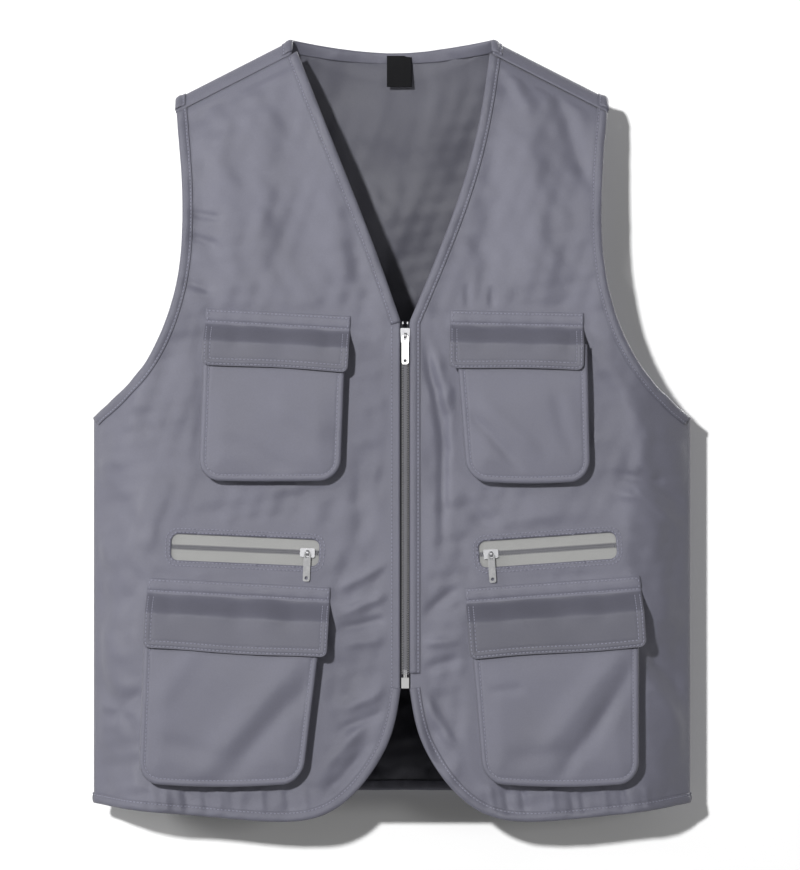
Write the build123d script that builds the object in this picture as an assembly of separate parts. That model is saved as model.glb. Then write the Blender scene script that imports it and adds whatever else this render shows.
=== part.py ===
"""Fishing vest, size L, as it hangs from a hanger.

Frame, in millimetres: the origin is the middle of the line between the two neck points,
at the top of the shoulders. +X is the wearer's left, -Y the front and +Z up.
"""
import os
from math import hypot, radians, sqrt, tan

from build123d import *

# ---------------------------------------------------------------- driving dimensions
# Body of the vest
half_width = 285.0  # middle to side seam
half_depth = 40.0  # middle to the flat of the front and of the back
side_round = 63.0  # width of the rounded strip beside each side seam
chest_line = -260.0  # below this height the panels hang straight down
neck_half = 96.0  # middle to neck point
shoulder_length = 110.0  # neck point to shoulder tip, measured across
shoulder_drop = 56.0
seam_drop = 14.0  # the shoulder seam lies this far down the front
back_neck_drop = 11.0
underarm = -361.0  # height of the bottom of the armhole
side_hem = -728.0
front_hem_drop = 13.0  # lowest point of a front, below the side hem
back_hem_rise = 9.0  # middle of the back hem, above the side hem
panel_thick = 1.2
binding_wide = 9.0
binding_thick = 1.0
lay_gap = 0.1  # between two layers of cloth that lie on each other
seam_gap = 0.3  # between two pieces that are sewn edge to edge

# Front closure
closure_x = 12.5  # the zip hangs this far to the wearer's left of the middle
edge_clear = 0.4  # a slider's flange to the edge of a front
v_bottom = -270.0
# How much of the V's width is left at two heights: the wearer's right edge runs straight,
# and the left one bellies out.
v_heights = (0.39, 0.74)
v_shares = {-1: (0.60, 0.24), 1: (0.77, 0.37)}
cutaway_top = -617.0

# Zips: teeth, tapes, sliders and pull tabs
tape_thick = 0.8
tape_wide = 14.4
tape_half_gap = 1.6  # middle of the chain to the edge of a tape
tape_clear = 0.2
tooth_pitch = 2.5
tooth_tall = 1.1
tooth_thick = 2.6
tooth_reach = 0.9  # how far a tooth passes the middle of the chain
chain_half = 2.8
tooth_slot = 1.0  # a tooth grips the tape in a slot this wide
plate_thick = 1.2
plate_clear = 0.4  # a slider plate to the teeth
flange_thick = 1.2
flange_clear = 0.6
slider_long = 14.0
slider_corner = 1.2
post_half = 1.2
post_long = 3.0
post_lead = 1.5  # from the end of a slider and past its post to the first tooth
ring_inner = 1.3  # the crown of a slider, round the bar of its pull tab
ring_outer = 2.5
ring_wide = 2.2
bar_radius = 0.7
bar_clear = 0.3
tab_wide = 6.6
tab_long = 28.0
tab_thick = 1.1
tab_window = 3.0
tab_window_long = 4.8
tab_hole_radius = 1.6
tab_hole_edge = 1.8
tab_corner = 2.0
stop_tall = 2.2
box_tall = 10.0
box_half = 3.6
box_thick = 4.0
box_wall = 0.8
pin_half_thick = 0.8
pin_clear = 0.3
pin_long = 17.5
main_slider_drop = 6.0  # bottom of the V to the top of the slider

# Pockets
cloth_thick = 1.2
gusset_thick = 1.0
band_tall = 14.0  # the sewn root of a flap
hinge_clear = 0.4
flap_clear = 1.4  # inside of a flap to the face of its pocket
flap_corner = 6.0
roof_slope = 0.85  # fall of a flap's roof for each millimetre it stands out
mouth_clear = 2.0  # a pocket's mouth hangs this far below the end of that roof
pocket_corner = 20.0
patch_long = 44.0
patch_tall = 16.0
patch_thick = 0.5
patch_clear = 0.2
patch_lift = 6.0  # bottom of a flap to the hook patch

# Label inside the back of the neck
label_wide = 24.0
label_tall = 28.0
label_thick = 0.6
label_x = 7.0
label_gap = 2.0

# One row for each pocket with a flap: side, height of the flap's top at its middle,
# flap width, pocket width, pocket middle and flap middle from the middle of the vest,
# height of the pocket's bottom, flap length, depth, slope of the flap in degrees
# (positive where the +X end is lower).
chest_bottom = chest_line - 160.0
hip_bottom = side_hem + 23.0
hip_margin = 52.0  # side seam to the side of a hip pocket
flap_pockets = {
    "chest_right": dict(side=-1, top=-261.0, flap=137.0, wide=134.0, x=-110.5, flap_x=-107.5,
                        bottom=chest_bottom, drop=53.0, deep=16.0, tilt=3.2),
    "chest_left": dict(side=1, top=-260.5, flap=126.0, wide=124.0, x=122.5, flap_x=118.5,
                       bottom=chest_bottom, drop=54.0, deep=16.0, tilt=1.2),
    "hip_right": dict(side=-1, top=hip_bottom + 188.0, flap=173.0, wide=168.0,
                      x=hip_margin + 84.0 - half_width, flap_x=hip_margin + 88.5 - half_width,
                      bottom=hip_bottom, drop=65.5, deep=18.0, tilt=3.1),
    "hip_left": dict(side=1, top=hip_bottom + 188.5, flap=166.0, wide=160.0,
                     x=half_width - hip_margin - 80.0, flap_x=half_width - hip_margin - 81.0,
                     bottom=hip_bottom, drop=66.0, deep=18.0, tilt=-4.1),
}
# One row for each zip pocket: side, window middle, window length, slope in degrees.
window_tall = 25.0
zip_row = hip_bottom + 219.0
zip_pockets = {
    "right": dict(side=-1, x=hip_margin + 94.0 - half_width, z=zip_row, long=140.0, tilt=2.5),
    "left": dict(side=1, x=half_width - hip_margin - 85.5, z=zip_row, long=130.0, tilt=-4.0),
}
tape_lap = 7.0  # a pocket zip's tape reaches this far past its window
bag_lap = 9.0
bag_deep = 9.0
bag_wall = 0.6
bag_below = 140.0  # the bag hangs this far below the middle of its window
bag_above = 4.0  # and rises this far above its zip's tape
chain_inset = 4.0  # ends of a pocket zip's chain, inside its window

# ---------------------------------------------------------------- derived values
flat_half = half_width - side_round
shoulder_slope = shoulder_drop / shoulder_length
tip_x = neck_half + shoulder_length
panel_y = -half_depth  # outer face of a front
inner_y = panel_y + panel_thick
tape_y = inner_y + tape_clear + tape_thick / 2  # middle of every zip tape
plate_y = tooth_thick / 2 + plate_clear  # inner face of a slider plate, from the tape
flange_in = chain_half + flange_clear
flange_out = flange_in + flange_thick
edge_half_gap = flange_out + edge_clear  # closure line to the edge of a front
bar_y = -(plate_y + plate_thick + bar_radius + bar_clear)  # pull tab's bar, from the tape
slider_top = v_bottom - main_slider_drop
sides = {"right": -1, "left": 1}
room = 20.0  # outlines are cut this far past the cloth they trim
# Angles from the top of the shoulder at which a layer starts, before its seam trims it
lip_start = -24.0
front_start = 12.0


def save(name, *solids):
    """Write one node: a single piece, or a group of equal ones."""
    shape = solids[0] if len(solids) == 1 else Compound(children=list(solids))
    export_step(shape, f"parts/{name}.step")


def slab(outline, y_from, y_to):
    """An outline in the front view, extruded from one depth to another."""
    return extrude(Plane.XZ.offset(-y_from) * outline, amount=y_from - y_to)


def block(x, y, z):
    """A box between two limits on each axis."""
    size = [abs(b - a) for a, b in (x, y, z)]
    middle = [(a + b) / 2 for a, b in (x, y, z)]
    return Pos(*middle) * Box(*size)


# ---------------------------------------------------------------- the cloth of the body
def ridge_height(x):
    return shoulder_slope * (neck_half - abs(x))


def hanging_section(x, facing, lift_in, lift_out, start):
    """Cloth cut at one X: an elliptic shoulder that runs into a straight fall.

    facing is -1 for a front and 1 for the back; start is the angle from the top of the
    shoulder at which the cloth begins, negative where it begins on the other side.
    """
    rise = ridge_height(x) - chest_line
    fall = side_hem - 2 * front_hem_drop - chest_line
    plane = Plane(origin=(x, 0, chest_line), x_dir=(0, facing, 0), z_dir=(facing, 0, 0))

    def arc(lift):
        return EllipticalCenterArc((0, 0), half_depth + lift, rise + lift, 0, arc_size=90 - start)

    outer, inner = arc(lift_out), arc(lift_in)
    ends = Line(outer @ 1, inner @ 1)
    hem = Polyline(inner @ 0, (half_depth + lift_in, fall), (half_depth + lift_out, fall), outer @ 0)
    return plane * make_face([outer, ends, inner, hem])


def side_strip(side, facing, lift_in, lift_out):
    """The strip that rounds off to the side seam, a parabola in plan."""
    slope = 2 * half_depth / side_round
    sine = slope / hypot(1, slope)

    def curve(lift):
        depth, end = half_depth + lift, half_width + lift / sine
        return Bezier((side * flat_half, facing * depth), (side * (end - depth / slope), facing * depth),
                      (side * end, 0))

    outer, inner = curve(lift_out), curve(lift_in)
    plan = make_face([outer, Line(outer @ 1, inner @ 1), inner, Line(inner @ 0, outer @ 0)])
    low = side_hem - 2 * front_hem_drop
    return extrude(Plane.XY.offset(low) * plan, amount=chest_line - low)


def cloth(facing, lift_in, lift_out, start):
    """A whole front or back layer, before it is cut to its outline."""
    layer = None
    for side in (-1, 1):
        middle = hanging_section(0, facing, lift_in, lift_out, start)
        edge = hanging_section(side * flat_half, facing, lift_in, lift_out, start)
        half = loft([middle, edge], ruled=True) + side_strip(side, facing, lift_in, lift_out)
        layer = half if layer is None else layer + half
    return layer


def armhole_curve(side):
    """From the shoulder tip down to the side seam."""
    tip_z, side_x = -shoulder_drop, half_width
    return Spline((side * tip_x, tip_z), (side * (tip_x - 8), tip_z - 98), (side * (tip_x + 1), tip_z - 193),
                  (side * (side_x - 39), underarm + 36), (side * side_x, underarm))


def front_edge_x(side):
    return closure_x + side * edge_half_gap


def neck_curve(side):
    """The V, from the neck point to the top of the zip."""
    top, low = side * neck_half, front_edge_x(side)
    between = [(low + (top - low) * share, v_bottom * height)
               for share, height in zip(v_shares[side], v_heights)]
    return Spline((top, 0), *between, (low, v_bottom))


def hem_curve(side):
    """The cutaway below the zip and the hem, out to the side seam."""
    x, low = front_edge_x(side), side_hem - front_hem_drop
    return Spline((x, cutaway_top), (x + side * 9, cutaway_top - 44), (x + side * 24, cutaway_top - 74),
                  (x + side * 70, low + 6), (x + side * 145, low), (side * half_width, side_hem),
                  tangents=((0, -1), (side, 0.08)))


def front_outline(side):
    over = side * room
    neck, armhole, hem = neck_curve(side), armhole_curve(side), hem_curve(side)
    cap = Polyline(armhole @ 0, (side * tip_x, neck_half), (side * neck_half, neck_half), neck @ 0)
    outside = Polyline(hem @ 1, (side * half_width + over, side_hem),
                       (side * half_width + over, underarm), armhole @ 1)
    return make_face([cap, neck, Line(neck @ 1, hem @ 0), hem, outside, armhole])


def back_hem_curve():
    return ThreePointArc((-half_width, side_hem), (0, side_hem + back_hem_rise), (half_width, side_hem))


def back_neck_curve():
    return ThreePointArc((-neck_half, 0), (0, -back_neck_drop), (neck_half, 0))


def back_outline():
    over = half_width + room
    neck, hem = back_neck_curve(), back_hem_curve()
    edges = [neck, hem]
    for side in (-1, 1):
        armhole = armhole_curve(side)
        edges += [Polyline((side * neck_half, 0), (side * neck_half, neck_half),
                           (side * tip_x, neck_half), armhole @ 0), armhole,
                  Polyline(armhole @ 1, (side * over, underarm), (side * over, side_hem),
                           (side * half_width, side_hem))]
    return make_face(edges)


def above_seam(side, gap):
    """The part of the front view above the shoulder seam, less a gap."""
    near, far, low = neck_half - 2 * room, tip_x + 2 * room, -seam_drop + gap
    return make_face(Polyline((side * near, low + ridge_height(near)), (side * far, low + ridge_height(far)),
                              (side * far, neck_half), (side * near, neck_half), close=True))


def rim(curve):
    """A band along an edge, as wide on each side as a binding."""
    return Sketch() + [Face(f.outer_wire()) for f in trace(curve, 2 * binding_wide).faces()]


def armhole_rim(side):
    """The band along an armhole, run on over the shoulder."""
    over = Rectangle(2 * binding_wide, 2 * binding_wide)
    over = Pos(side * tip_x, -shoulder_drop + binding_wide / 2) * over
    return rim(armhole_curve(side)) + over


def window_outline(pocket, grow):
    corner = window_tall / 4 + grow
    shape = RectangleRounded(pocket["long"] + 2 * grow, window_tall + 2 * grow, corner)
    return Pos(pocket["x"], pocket["z"]) * Rot(0, 0, -pocket["tilt"]) * shape


# ---------------------------------------------------------------- body panels and bindings
def build_back():
    depth = half_depth + room
    lip = [front_outline(side) & above_seam(side, 0) for side in (-1, 1)]

    whole = back_outline()
    shell_room = slab(whole, depth, 0) + slab(lip[0], 0, -depth) + slab(lip[1], 0, -depth)
    panel = cloth(1, -panel_thick, 0, lip_start)
    save("back_panel", panel & shell_room)
    binding = cloth(1, lay_gap, lay_gap + binding_thick, lip_start)
    neck_limit = Rectangle(2 * (neck_half - binding_wide), 4 * binding_wide)
    save("back_neck_binding", binding & slab(whole & rim(back_neck_curve()) & neck_limit, depth, 0))
    save("back_hem_binding", binding & slab(whole & rim(back_hem_curve()), depth, 0))
    for name, side in sides.items():
        band = armhole_rim(side)
        side_room = slab(whole & band, depth, 0) + slab(lip[(side + 1) // 2] & band, 0, -depth)
        save(f"back_armhole_binding_{name}", binding & side_room)
    top = -back_neck_drop - binding_wide
    rise = (top - chest_line) / (ridge_height(label_x) - chest_line)
    back_y = (half_depth - panel_thick) * sqrt(1 - rise ** 2) - label_gap
    save("size_label", block((label_x - label_wide / 2, label_x + label_wide / 2),
                             (back_y - label_thick, back_y), (top - label_tall, top)))


def build_front(name, side):
    depth = half_depth + room
    below = front_outline(side) - above_seam(side, -seam_gap)
    panel = cloth(-1, -panel_thick, 0, front_start)
    window = window_outline(zip_pockets[name], 0)
    save(f"front_panel_{name}", panel & slab(below - window, -seam_gap, -depth))
    binding = cloth(-1, lay_gap, lay_gap + binding_thick, front_start)
    neck = rim(neck_curve(side))
    edges = {
        f"neck_binding_{name}": below & neck,
        f"armhole_binding_{name}": below & armhole_rim(side),
        f"hem_binding_{name}": below & rim(hem_curve(side)),
    }
    for node, region in edges.items():
        save(node, binding & slab(region, -seam_gap, -depth))


# ---------------------------------------------------------------- zips
def tooth(side):
    """One tooth, gripping the edge of its tape, about the middle of the chain."""
    grip, half = tape_half_gap - lay_gap, tooth_thick / 2
    upper = [(tooth_reach, half), (-chain_half, half), (-chain_half, tooth_slot / 2),
             (-grip, tooth_slot / 2)]
    points = upper + [(x, -y) for x, y in reversed(upper)]
    outline = make_face(Polyline(*[(-side * x, y) for x, y in points], close=True))
    return extrude(outline, amount=tooth_tall)


def teeth(side, low, high):
    """One side of a chain, each tooth half a pitch from those it meshes with."""
    start = low + (tooth_pitch / 2 if side > 0 else 0)
    count = int((high - tooth_tall - start) / tooth_pitch) + 1
    one = tooth(side)
    return [Pos(0, 0, start + k * tooth_pitch) * one for k in range(count)]


def slider_body(turn):
    """Two plates, their flanges, the post and the crown, about the middle of the chain.

    The leading end points up; turn sets the crown, 0 for a tab that hangs along the
    chain and 90 for one that hangs across it.
    """
    half, tail = slider_long / 2, flange_out - flange_thick / 2
    outline = make_face(Polyline((-tail, -half), (tail, -half), (flange_out, half),
                                 (-flange_out, half), close=True))
    outline = fillet(outline.vertices(), slider_corner)
    body = slab(outline, -plate_y, -plate_y - plate_thick) + slab(outline, plate_y + plate_thick, plate_y)
    lip = tape_thick / 2 + plate_clear
    for side in (-1, 1):
        for facing in (-1, 1):
            body += block((side * flange_in, side * tail), (facing * lip, facing * plate_y),
                          (slider_corner - half, half - slider_corner))
    lead = half - post_lead / 3
    body += block((-post_half, post_half), (-plate_y, plate_y), (lead - post_long, lead))
    front = -plate_y - plate_thick
    arch = Circle(ring_outer) - Circle(ring_inner)
    arch &= Pos(0, ring_outer) * Rectangle(4 * ring_outer, 2 * ring_outer)
    leg = bar_radius + bar_clear
    for side in (-1, 1):
        arch += Pos(side * (ring_inner + ring_outer) / 2, -leg / 2) * Rectangle(ring_outer - ring_inner, leg)
    plane = Plane(origin=(0, front - leg, 0), x_dir=(0, 0, 1), z_dir=(1, 0, 0))
    crown = extrude(plane * arch, amount=ring_wide / 2, both=True)
    return body + Rot(0, turn, 0) * crown


def pull_tab():
    """A tab that hangs from its bar, which lies along X at the tab's own origin."""
    half = tab_thick / 2
    low = -(tab_long - bar_radius)
    outline = Pos(0, low / 2) * RectangleRounded(tab_wide, -low, tab_corner)
    window = Pos(0, -tab_window_long / 2) * Rectangle(tab_window, tab_window_long)
    hole = Pos(0, low + tab_hole_radius + tab_hole_edge) * Circle(tab_hole_radius)
    plate = slab(outline - window - hole, half, -half)
    bar = Rot(0, 90, 0) * Cylinder(bar_radius, (tab_window + tab_wide) / 2)
    return plate + bar


def build_main_zip():
    tape_top, pin_top = v_bottom, cutaway_top + pin_long
    tooth_top = slider_top - post_long - post_lead
    place = Pos(closure_x, tape_y, 0)
    for name, side in sides.items():
        def across(a, b):
            return (side * a, side * b)
        tape = block(across(tape_half_gap, tape_half_gap + tape_wide), (-tape_thick / 2, tape_thick / 2),
                     (cutaway_top, tape_top))
        tape -= block(across(0, box_half + pin_clear), (-tape_thick, tape_thick),
                      (cutaway_top - room, cutaway_top + box_tall + seam_gap))
        save(f"zip_tape_{name}", place * tape)
        save(f"zip_teeth_{name}", *[place * t for t in teeth(side, pin_top + seam_gap, tooth_top)])
        stop = block(across(tape_half_gap, chain_half), (-tooth_thick / 2, tooth_thick / 2),
                     (tape_top - stop_tall, tape_top))
        stop -= block(across(0, room), (-tooth_slot / 2, tooth_slot / 2), (tape_top - room, tape_top + room))
        save(f"zip_top_stop_{name}", *[place * s for s in stop.solids()])
    pin_side = (pin_clear, tape_half_gap - lay_gap)
    pin_y = (-pin_half_thick, pin_half_thick)
    floor = cutaway_top + 2 * box_wall
    pin = block(pin_side, pin_y, (floor + pin_clear, pin_top))
    save("zip_insertion_pin", place * pin)
    box = block((-box_half, box_half), (-box_thick / 2, box_thick / 2), (cutaway_top, cutaway_top + box_tall))
    box -= block((0, tape_half_gap + pin_clear),
                 (-pin_half_thick - pin_clear, pin_half_thick + pin_clear), (floor, 0))
    retainer = block((-pin_side[1], -pin_side[0]), pin_y, (cutaway_top + 1, pin_top))
    save("zip_box", place * (box + retainer))
    middle = slider_top - slider_long / 2
    save("main_slider", Pos(closure_x, tape_y, middle) * slider_body(0))
    save("main_pull_tab", Pos(closure_x, tape_y + bar_y, middle) * pull_tab())


def build_pocket_zip(name, pocket):
    """A closed zip behind a window in the front, and the bag that hangs behind it."""
    side, half = pocket["side"], pocket["long"] / 2
    place = Pos(pocket["x"], tape_y, pocket["z"]) * Rot(0, pocket["tilt"], 0)
    reach = half + tape_lap
    strips = [block((-reach, reach), (-tape_thick / 2, tape_thick / 2),
                    (edge * tape_half_gap, edge * (window_tall / 2 + tape_lap))) for edge in (-1, 1)]
    save(f"pocket_zip_tape_{name}", *[place * s for s in strips])
    closed = -side * (half - chain_inset)  # the closed end is the one near the front edge
    turn = Rot(0, -side * 90, 0)
    chain = []
    for edge in (-1, 1):
        for t in teeth(edge, -half + chain_inset / 2, half - chain_inset - post_long - post_lead):
            chain.append(place * turn * t)
    save(f"pocket_zip_teeth_{name}", *chain)
    middle = closed + side * slider_long / 2
    save(f"pocket_slider_{name}", place * Pos(middle, 0, 0) * turn * slider_body(90))
    save(f"pocket_pull_tab_{name}", place * Pos(middle, bar_y, 0) * pull_tab())
    front = inner_y + tape_clear + tape_thick + tape_clear
    wide, high = half + bag_lap, window_tall / 2 + tape_lap + bag_above
    bag = block((-wide, wide), (front, front + bag_deep), (-bag_below, high))
    bag -= block((-wide + bag_wall, wide - bag_wall), (front + bag_wall, front + bag_deep - bag_wall),
                 (-bag_below + bag_wall, high - bag_wall))
    bag -= block((-half - chain_inset / 2, half + chain_inset / 2), (front - bag_wall, front + 2 * bag_wall),
                 (-window_tall / 2 - chain_inset / 2, window_tall / 2 + chain_inset / 2))
    save(f"pocket_bag_{name}", Pos(pocket["x"], 0, pocket["z"]) * Rot(0, pocket["tilt"], 0) * bag)


# ---------------------------------------------------------------- pockets with flaps
def offset_profile(points, thick):
    """A polyline thickened to its left, mitred at its corners."""
    normals = []
    for (ax, az), (bx, bz) in zip(points, points[1:]):
        run = hypot(bx - ax, bz - az)
        normals.append((-(bz - az) / run, (bx - ax) / run))
    shifted = []
    for i, (x, z) in enumerate(points):
        n, m = normals[max(i - 1, 0)], normals[min(i, len(normals) - 1)]
        scale = thick / (1 + n[0] * m[0] + n[1] * m[1])
        shifted.append((x + (n[0] + m[0]) * scale, z + (n[1] + m[1]) * scale))
    return points + shifted[::-1]


def build_flap_pocket(name, p):
    """A box pocket that stands on the front, with a flap that falls over its mouth."""
    slope = tan(radians(p["tilt"]))
    base, face_y = panel_y - lay_gap, panel_y - p["deep"]
    place = Pos(p["flap_x"], 0, p["top"]) * Rot(0, p["tilt"], 0)
    band = slab(Pos(0, -band_tall / 2) * Rectangle(p["flap"], band_tall), base, base - cloth_thick)
    save(f"{name}_flap_band", place * band)

    hinge_y, hinge_z = base - cloth_thick - hinge_clear, -band_tall - seam_gap
    front_y = face_y - cloth_thick - flap_clear - cloth_thick
    roof = p["deep"] * roof_slope
    profile = offset_profile([(hinge_y, hinge_z), (front_y, hinge_z - roof), (front_y, -p["drop"])],
                             cloth_thick)
    side_view = make_face(Plane.YZ * Polyline(*profile, close=True))
    flap = extrude(side_view, amount=p["flap"] / 2, both=True)
    tall = p["drop"] + flap_corner
    front_view = Pos(0, -p["drop"] + tall / 2) * RectangleRounded(p["flap"], tall, flap_corner)
    save(f"{name}_flap", place * (flap & slab(front_view, 0, front_y - room)))

    mouth = hinge_z - roof - mouth_clear
    patch_z = -p["drop"] + patch_lift
    patch = Pos(0, patch_z + patch_tall / 2) * Rectangle(patch_long, patch_tall)
    inside = front_y + cloth_thick
    save(f"{name}_hook_patch", place * slab(patch, inside, inside + patch_thick))
    face_front = face_y - cloth_thick
    save(f"{name}_loop_patch", place * slab(patch, face_front, face_front - patch_thick))

    middle_top = p["top"] + mouth
    tall = middle_top - p["bottom"] + 2 * room
    outline = Pos(p["x"], p["bottom"] + tall / 2) * Rectangle(p["wide"], tall)
    outline = fillet(outline.vertices().group_by(Axis.Y)[0], pocket_corner)
    far = p["wide"]
    above = make_face(Polyline((p["flap_x"] - far, middle_top + far * slope),
                               (p["flap_x"] + far, middle_top - far * slope),
                               (p["flap_x"] + far, middle_top + far), (p["flap_x"] - far, middle_top + far),
                               close=True))
    outline = outline - above
    hollow = Rectangle(p["wide"] - 2 * gusset_thick, tall)
    hollow = Pos(p["x"], p["bottom"] + gusset_thick + tall / 2) * hollow
    hollow = fillet(hollow.vertices().group_by(Axis.Y)[0], pocket_corner - gusset_thick)
    save(f"{name}_pocket_gusset", slab(outline - hollow, base, face_y))
    save(f"{name}_pocket_face", slab(outline, face_y, face_front))


os.makedirs("parts", exist_ok=True)
build_back()
for front_name, front_side in sides.items():
    build_front(front_name, front_side)
build_main_zip()
for zip_name, zip_pocket in zip_pockets.items():
    build_pocket_zip(zip_name, zip_pocket)
for pocket_name, flap_pocket in flap_pockets.items():
    build_flap_pocket(pocket_name, flap_pocket)
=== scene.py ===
# %% [markdown]
# # A fishing vest, cut and sewn in Blender
# This lesson makes a hanging fishing vest: two fronts closed by a zip, a back, four box
# pockets with flaps and two zip pockets. Every piece is cut as flat cloth would be, as a
# grid of points, and is then laid on one shared body shape. All sizes in the code are
# millimetres; a piece is turned into metres when its mesh is made.
# X points to the wearer's left, -Y to the front and Z up. Zero is at the neck points.

# %% Load the frame
import math

import bmesh
import bpy
import numpy as np
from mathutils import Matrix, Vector


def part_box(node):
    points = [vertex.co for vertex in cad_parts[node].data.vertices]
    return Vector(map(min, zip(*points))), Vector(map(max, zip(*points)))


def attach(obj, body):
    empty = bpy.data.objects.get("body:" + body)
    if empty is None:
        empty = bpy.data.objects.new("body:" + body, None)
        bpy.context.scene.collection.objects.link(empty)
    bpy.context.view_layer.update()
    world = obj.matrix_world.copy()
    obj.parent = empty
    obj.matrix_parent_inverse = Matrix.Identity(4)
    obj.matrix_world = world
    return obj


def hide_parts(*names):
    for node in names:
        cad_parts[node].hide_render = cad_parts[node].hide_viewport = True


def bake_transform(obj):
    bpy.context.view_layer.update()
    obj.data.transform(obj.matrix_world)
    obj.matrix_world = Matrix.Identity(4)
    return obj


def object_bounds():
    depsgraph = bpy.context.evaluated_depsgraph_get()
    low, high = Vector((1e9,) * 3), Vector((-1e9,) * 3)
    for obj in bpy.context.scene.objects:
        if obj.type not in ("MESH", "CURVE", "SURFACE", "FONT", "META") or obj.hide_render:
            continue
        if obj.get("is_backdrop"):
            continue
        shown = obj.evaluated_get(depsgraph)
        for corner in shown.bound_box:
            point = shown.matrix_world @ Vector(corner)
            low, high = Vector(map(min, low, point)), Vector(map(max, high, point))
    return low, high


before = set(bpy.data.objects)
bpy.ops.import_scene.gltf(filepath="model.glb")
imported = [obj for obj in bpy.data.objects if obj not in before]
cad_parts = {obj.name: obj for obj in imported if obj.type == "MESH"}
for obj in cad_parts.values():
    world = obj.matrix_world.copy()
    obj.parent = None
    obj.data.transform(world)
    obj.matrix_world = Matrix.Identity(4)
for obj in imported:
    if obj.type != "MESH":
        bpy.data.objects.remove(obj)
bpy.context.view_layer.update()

# %% [markdown]
# ## The camera
# The vest is seen from straight in front, from far enough away that it looks flat. A long
# lens at four metres does that; a short lens close by would swell the pockets.

# %% Camera
camera = bpy.data.objects.new("camera", bpy.data.cameras.new("camera"))
bpy.context.scene.collection.objects.link(camera)
camera.location = (0.0076, -4.02, -0.3772)
camera.rotation_euler = (math.radians(90), 0, 0)
camera.data.lens = 174
bpy.context.scene.camera = camera
bpy.context.scene.view_settings.view_transform = "Standard"
print("camera is", round(-camera.location.y, 2), "m in front of the vest")

# %% [markdown]
# ## Making meshes
# A piece is a list of points in millimetres and a list of faces. This helper turns them into
# a Blender object and makes the faces point outwards. The second set of numbers, the
# UV map, says where each point lies on the flat cloth, so that the weave runs with the cut.

# %% Mesh helper
MM = 0.001


def make_piece(name, points, faces, finish, cloth_uv=None):
    """A mesh object from points in millimetres."""
    points = np.asarray(points, float).reshape(-1, 3)
    mesh = bpy.data.meshes.new(name)
    mesh.from_pydata((points * MM).tolist(), [], faces)
    work = bmesh.new()
    work.from_mesh(mesh)
    bmesh.ops.recalc_face_normals(work, faces=work.faces)
    work.to_mesh(mesh)
    work.free()
    flat = points[:, (0, 2)] if cloth_uv is None else np.asarray(cloth_uv, float).reshape(-1, 2)
    corners = np.zeros(len(mesh.loops), np.int32)
    mesh.loops.foreach_get("vertex_index", corners)
    layer = mesh.uv_layers.new(name="cloth")
    layer.data.foreach_set("uv", (flat[corners] * MM).astype(np.float32).ravel())
    mesh.shade_smooth()
    mesh.materials.append(finish)
    piece = bpy.data.objects.new(name, mesh)
    bpy.context.scene.collection.objects.link(piece)
    return piece


def grid_faces(rows, columns):
    """Square faces between the points of a grid, row by row."""
    first = (np.arange(rows - 1)[:, None] * columns + np.arange(columns - 1)).ravel()
    return together(first, first + 1, first + columns + 1, first + columns).tolist()


def grid_normals(grid):
    """Which way each point of a grid of points faces."""
    along, down = np.gradient(grid, axis=1), np.gradient(grid, axis=0)
    normal = np.cross(along, down)
    return normal / np.maximum(np.linalg.norm(normal, axis=-1, keepdims=True), 1e-9)


def together(*parts):
    """Points from their coordinates, which may be single numbers or arrays."""
    return np.stack(np.broadcast_arrays(*parts), axis=-1)


def steps(line):
    """How far along a line each of its points lies."""
    return np.r_[0, np.cumsum(np.linalg.norm(np.diff(line, axis=0), axis=1))]


def unit(arrows):
    """The same directions with length 1."""
    return arrows / np.linalg.norm(arrows, axis=-1, keepdims=True)


def ring_faces(count, around):
    """Faces between rings of points that follow one another, with both ends closed."""
    first = range(around)
    faces = [[i * around + j, i * around + (j + 1) % around,
              (i + 1) * around + (j + 1) % around, (i + 1) * around + j]
             for i in range(count - 1) for j in first]
    return faces + [list(first)[::-1], [(count - 1) * around + j for j in first]]


# %% [markdown]
# Cloth has two sides and an edge. A sheet is therefore made twice, once for each side, and
# the open edge is closed with a strip of faces. An edge is open where only one face uses it.

# %% Closed cloth
def open_edges(faces):
    """The directed edges that only one face uses."""
    seen = set()
    for face in faces:
        for a, b in zip(face, face[1:] + face[:1]):
            seen.add((a, b))
    return [(a, b) for a, b in seen if (b, a) not in seen]


def stand_for(piece, slot, *nodes):
    """Put a piece in the place of its CAD nodes, which are hidden; slot is not used."""
    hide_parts(*nodes)


def cloth_piece(name, outer, inner, faces, finish, cloth_uv):
    """A closed sheet between its outer points and its inner points."""
    outer, inner = np.asarray(outer).reshape(-1, 3), np.asarray(inner).reshape(-1, 3)
    uv = np.asarray(cloth_uv, float).reshape(-1, 2)
    used = np.unique(np.concatenate([np.ravel(face) for face in faces]).astype(int))
    renumber = np.full(len(outer), -1)
    renumber[used] = np.arange(len(used))
    faces = [[int(renumber[i]) for i in face] for face in faces]
    size = len(used)
    back = [[i + size for i in reversed(face)] for face in faces]
    rim = [[b, a, a + size, b + size] for a, b in sorted(open_edges(faces))]
    piece = make_piece(name, np.concatenate([outer[used], inner[used]]), faces + back + rim, finish,
                       np.concatenate([uv[used], uv[used]]))
    return piece


def grid_cloth(name, grid, thick, finish, cloth_uv, outward=(0, -1, 0)):
    """A closed sheet from one grid of points; its thickness goes inwards."""
    normal = grid_normals(grid)
    if (normal @ np.array(outward, float)).sum() < 0:
        normal = -normal
    return cloth_piece(name, grid, grid - normal * thick, grid_faces(*grid.shape[:2]), finish, cloth_uv)


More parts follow.
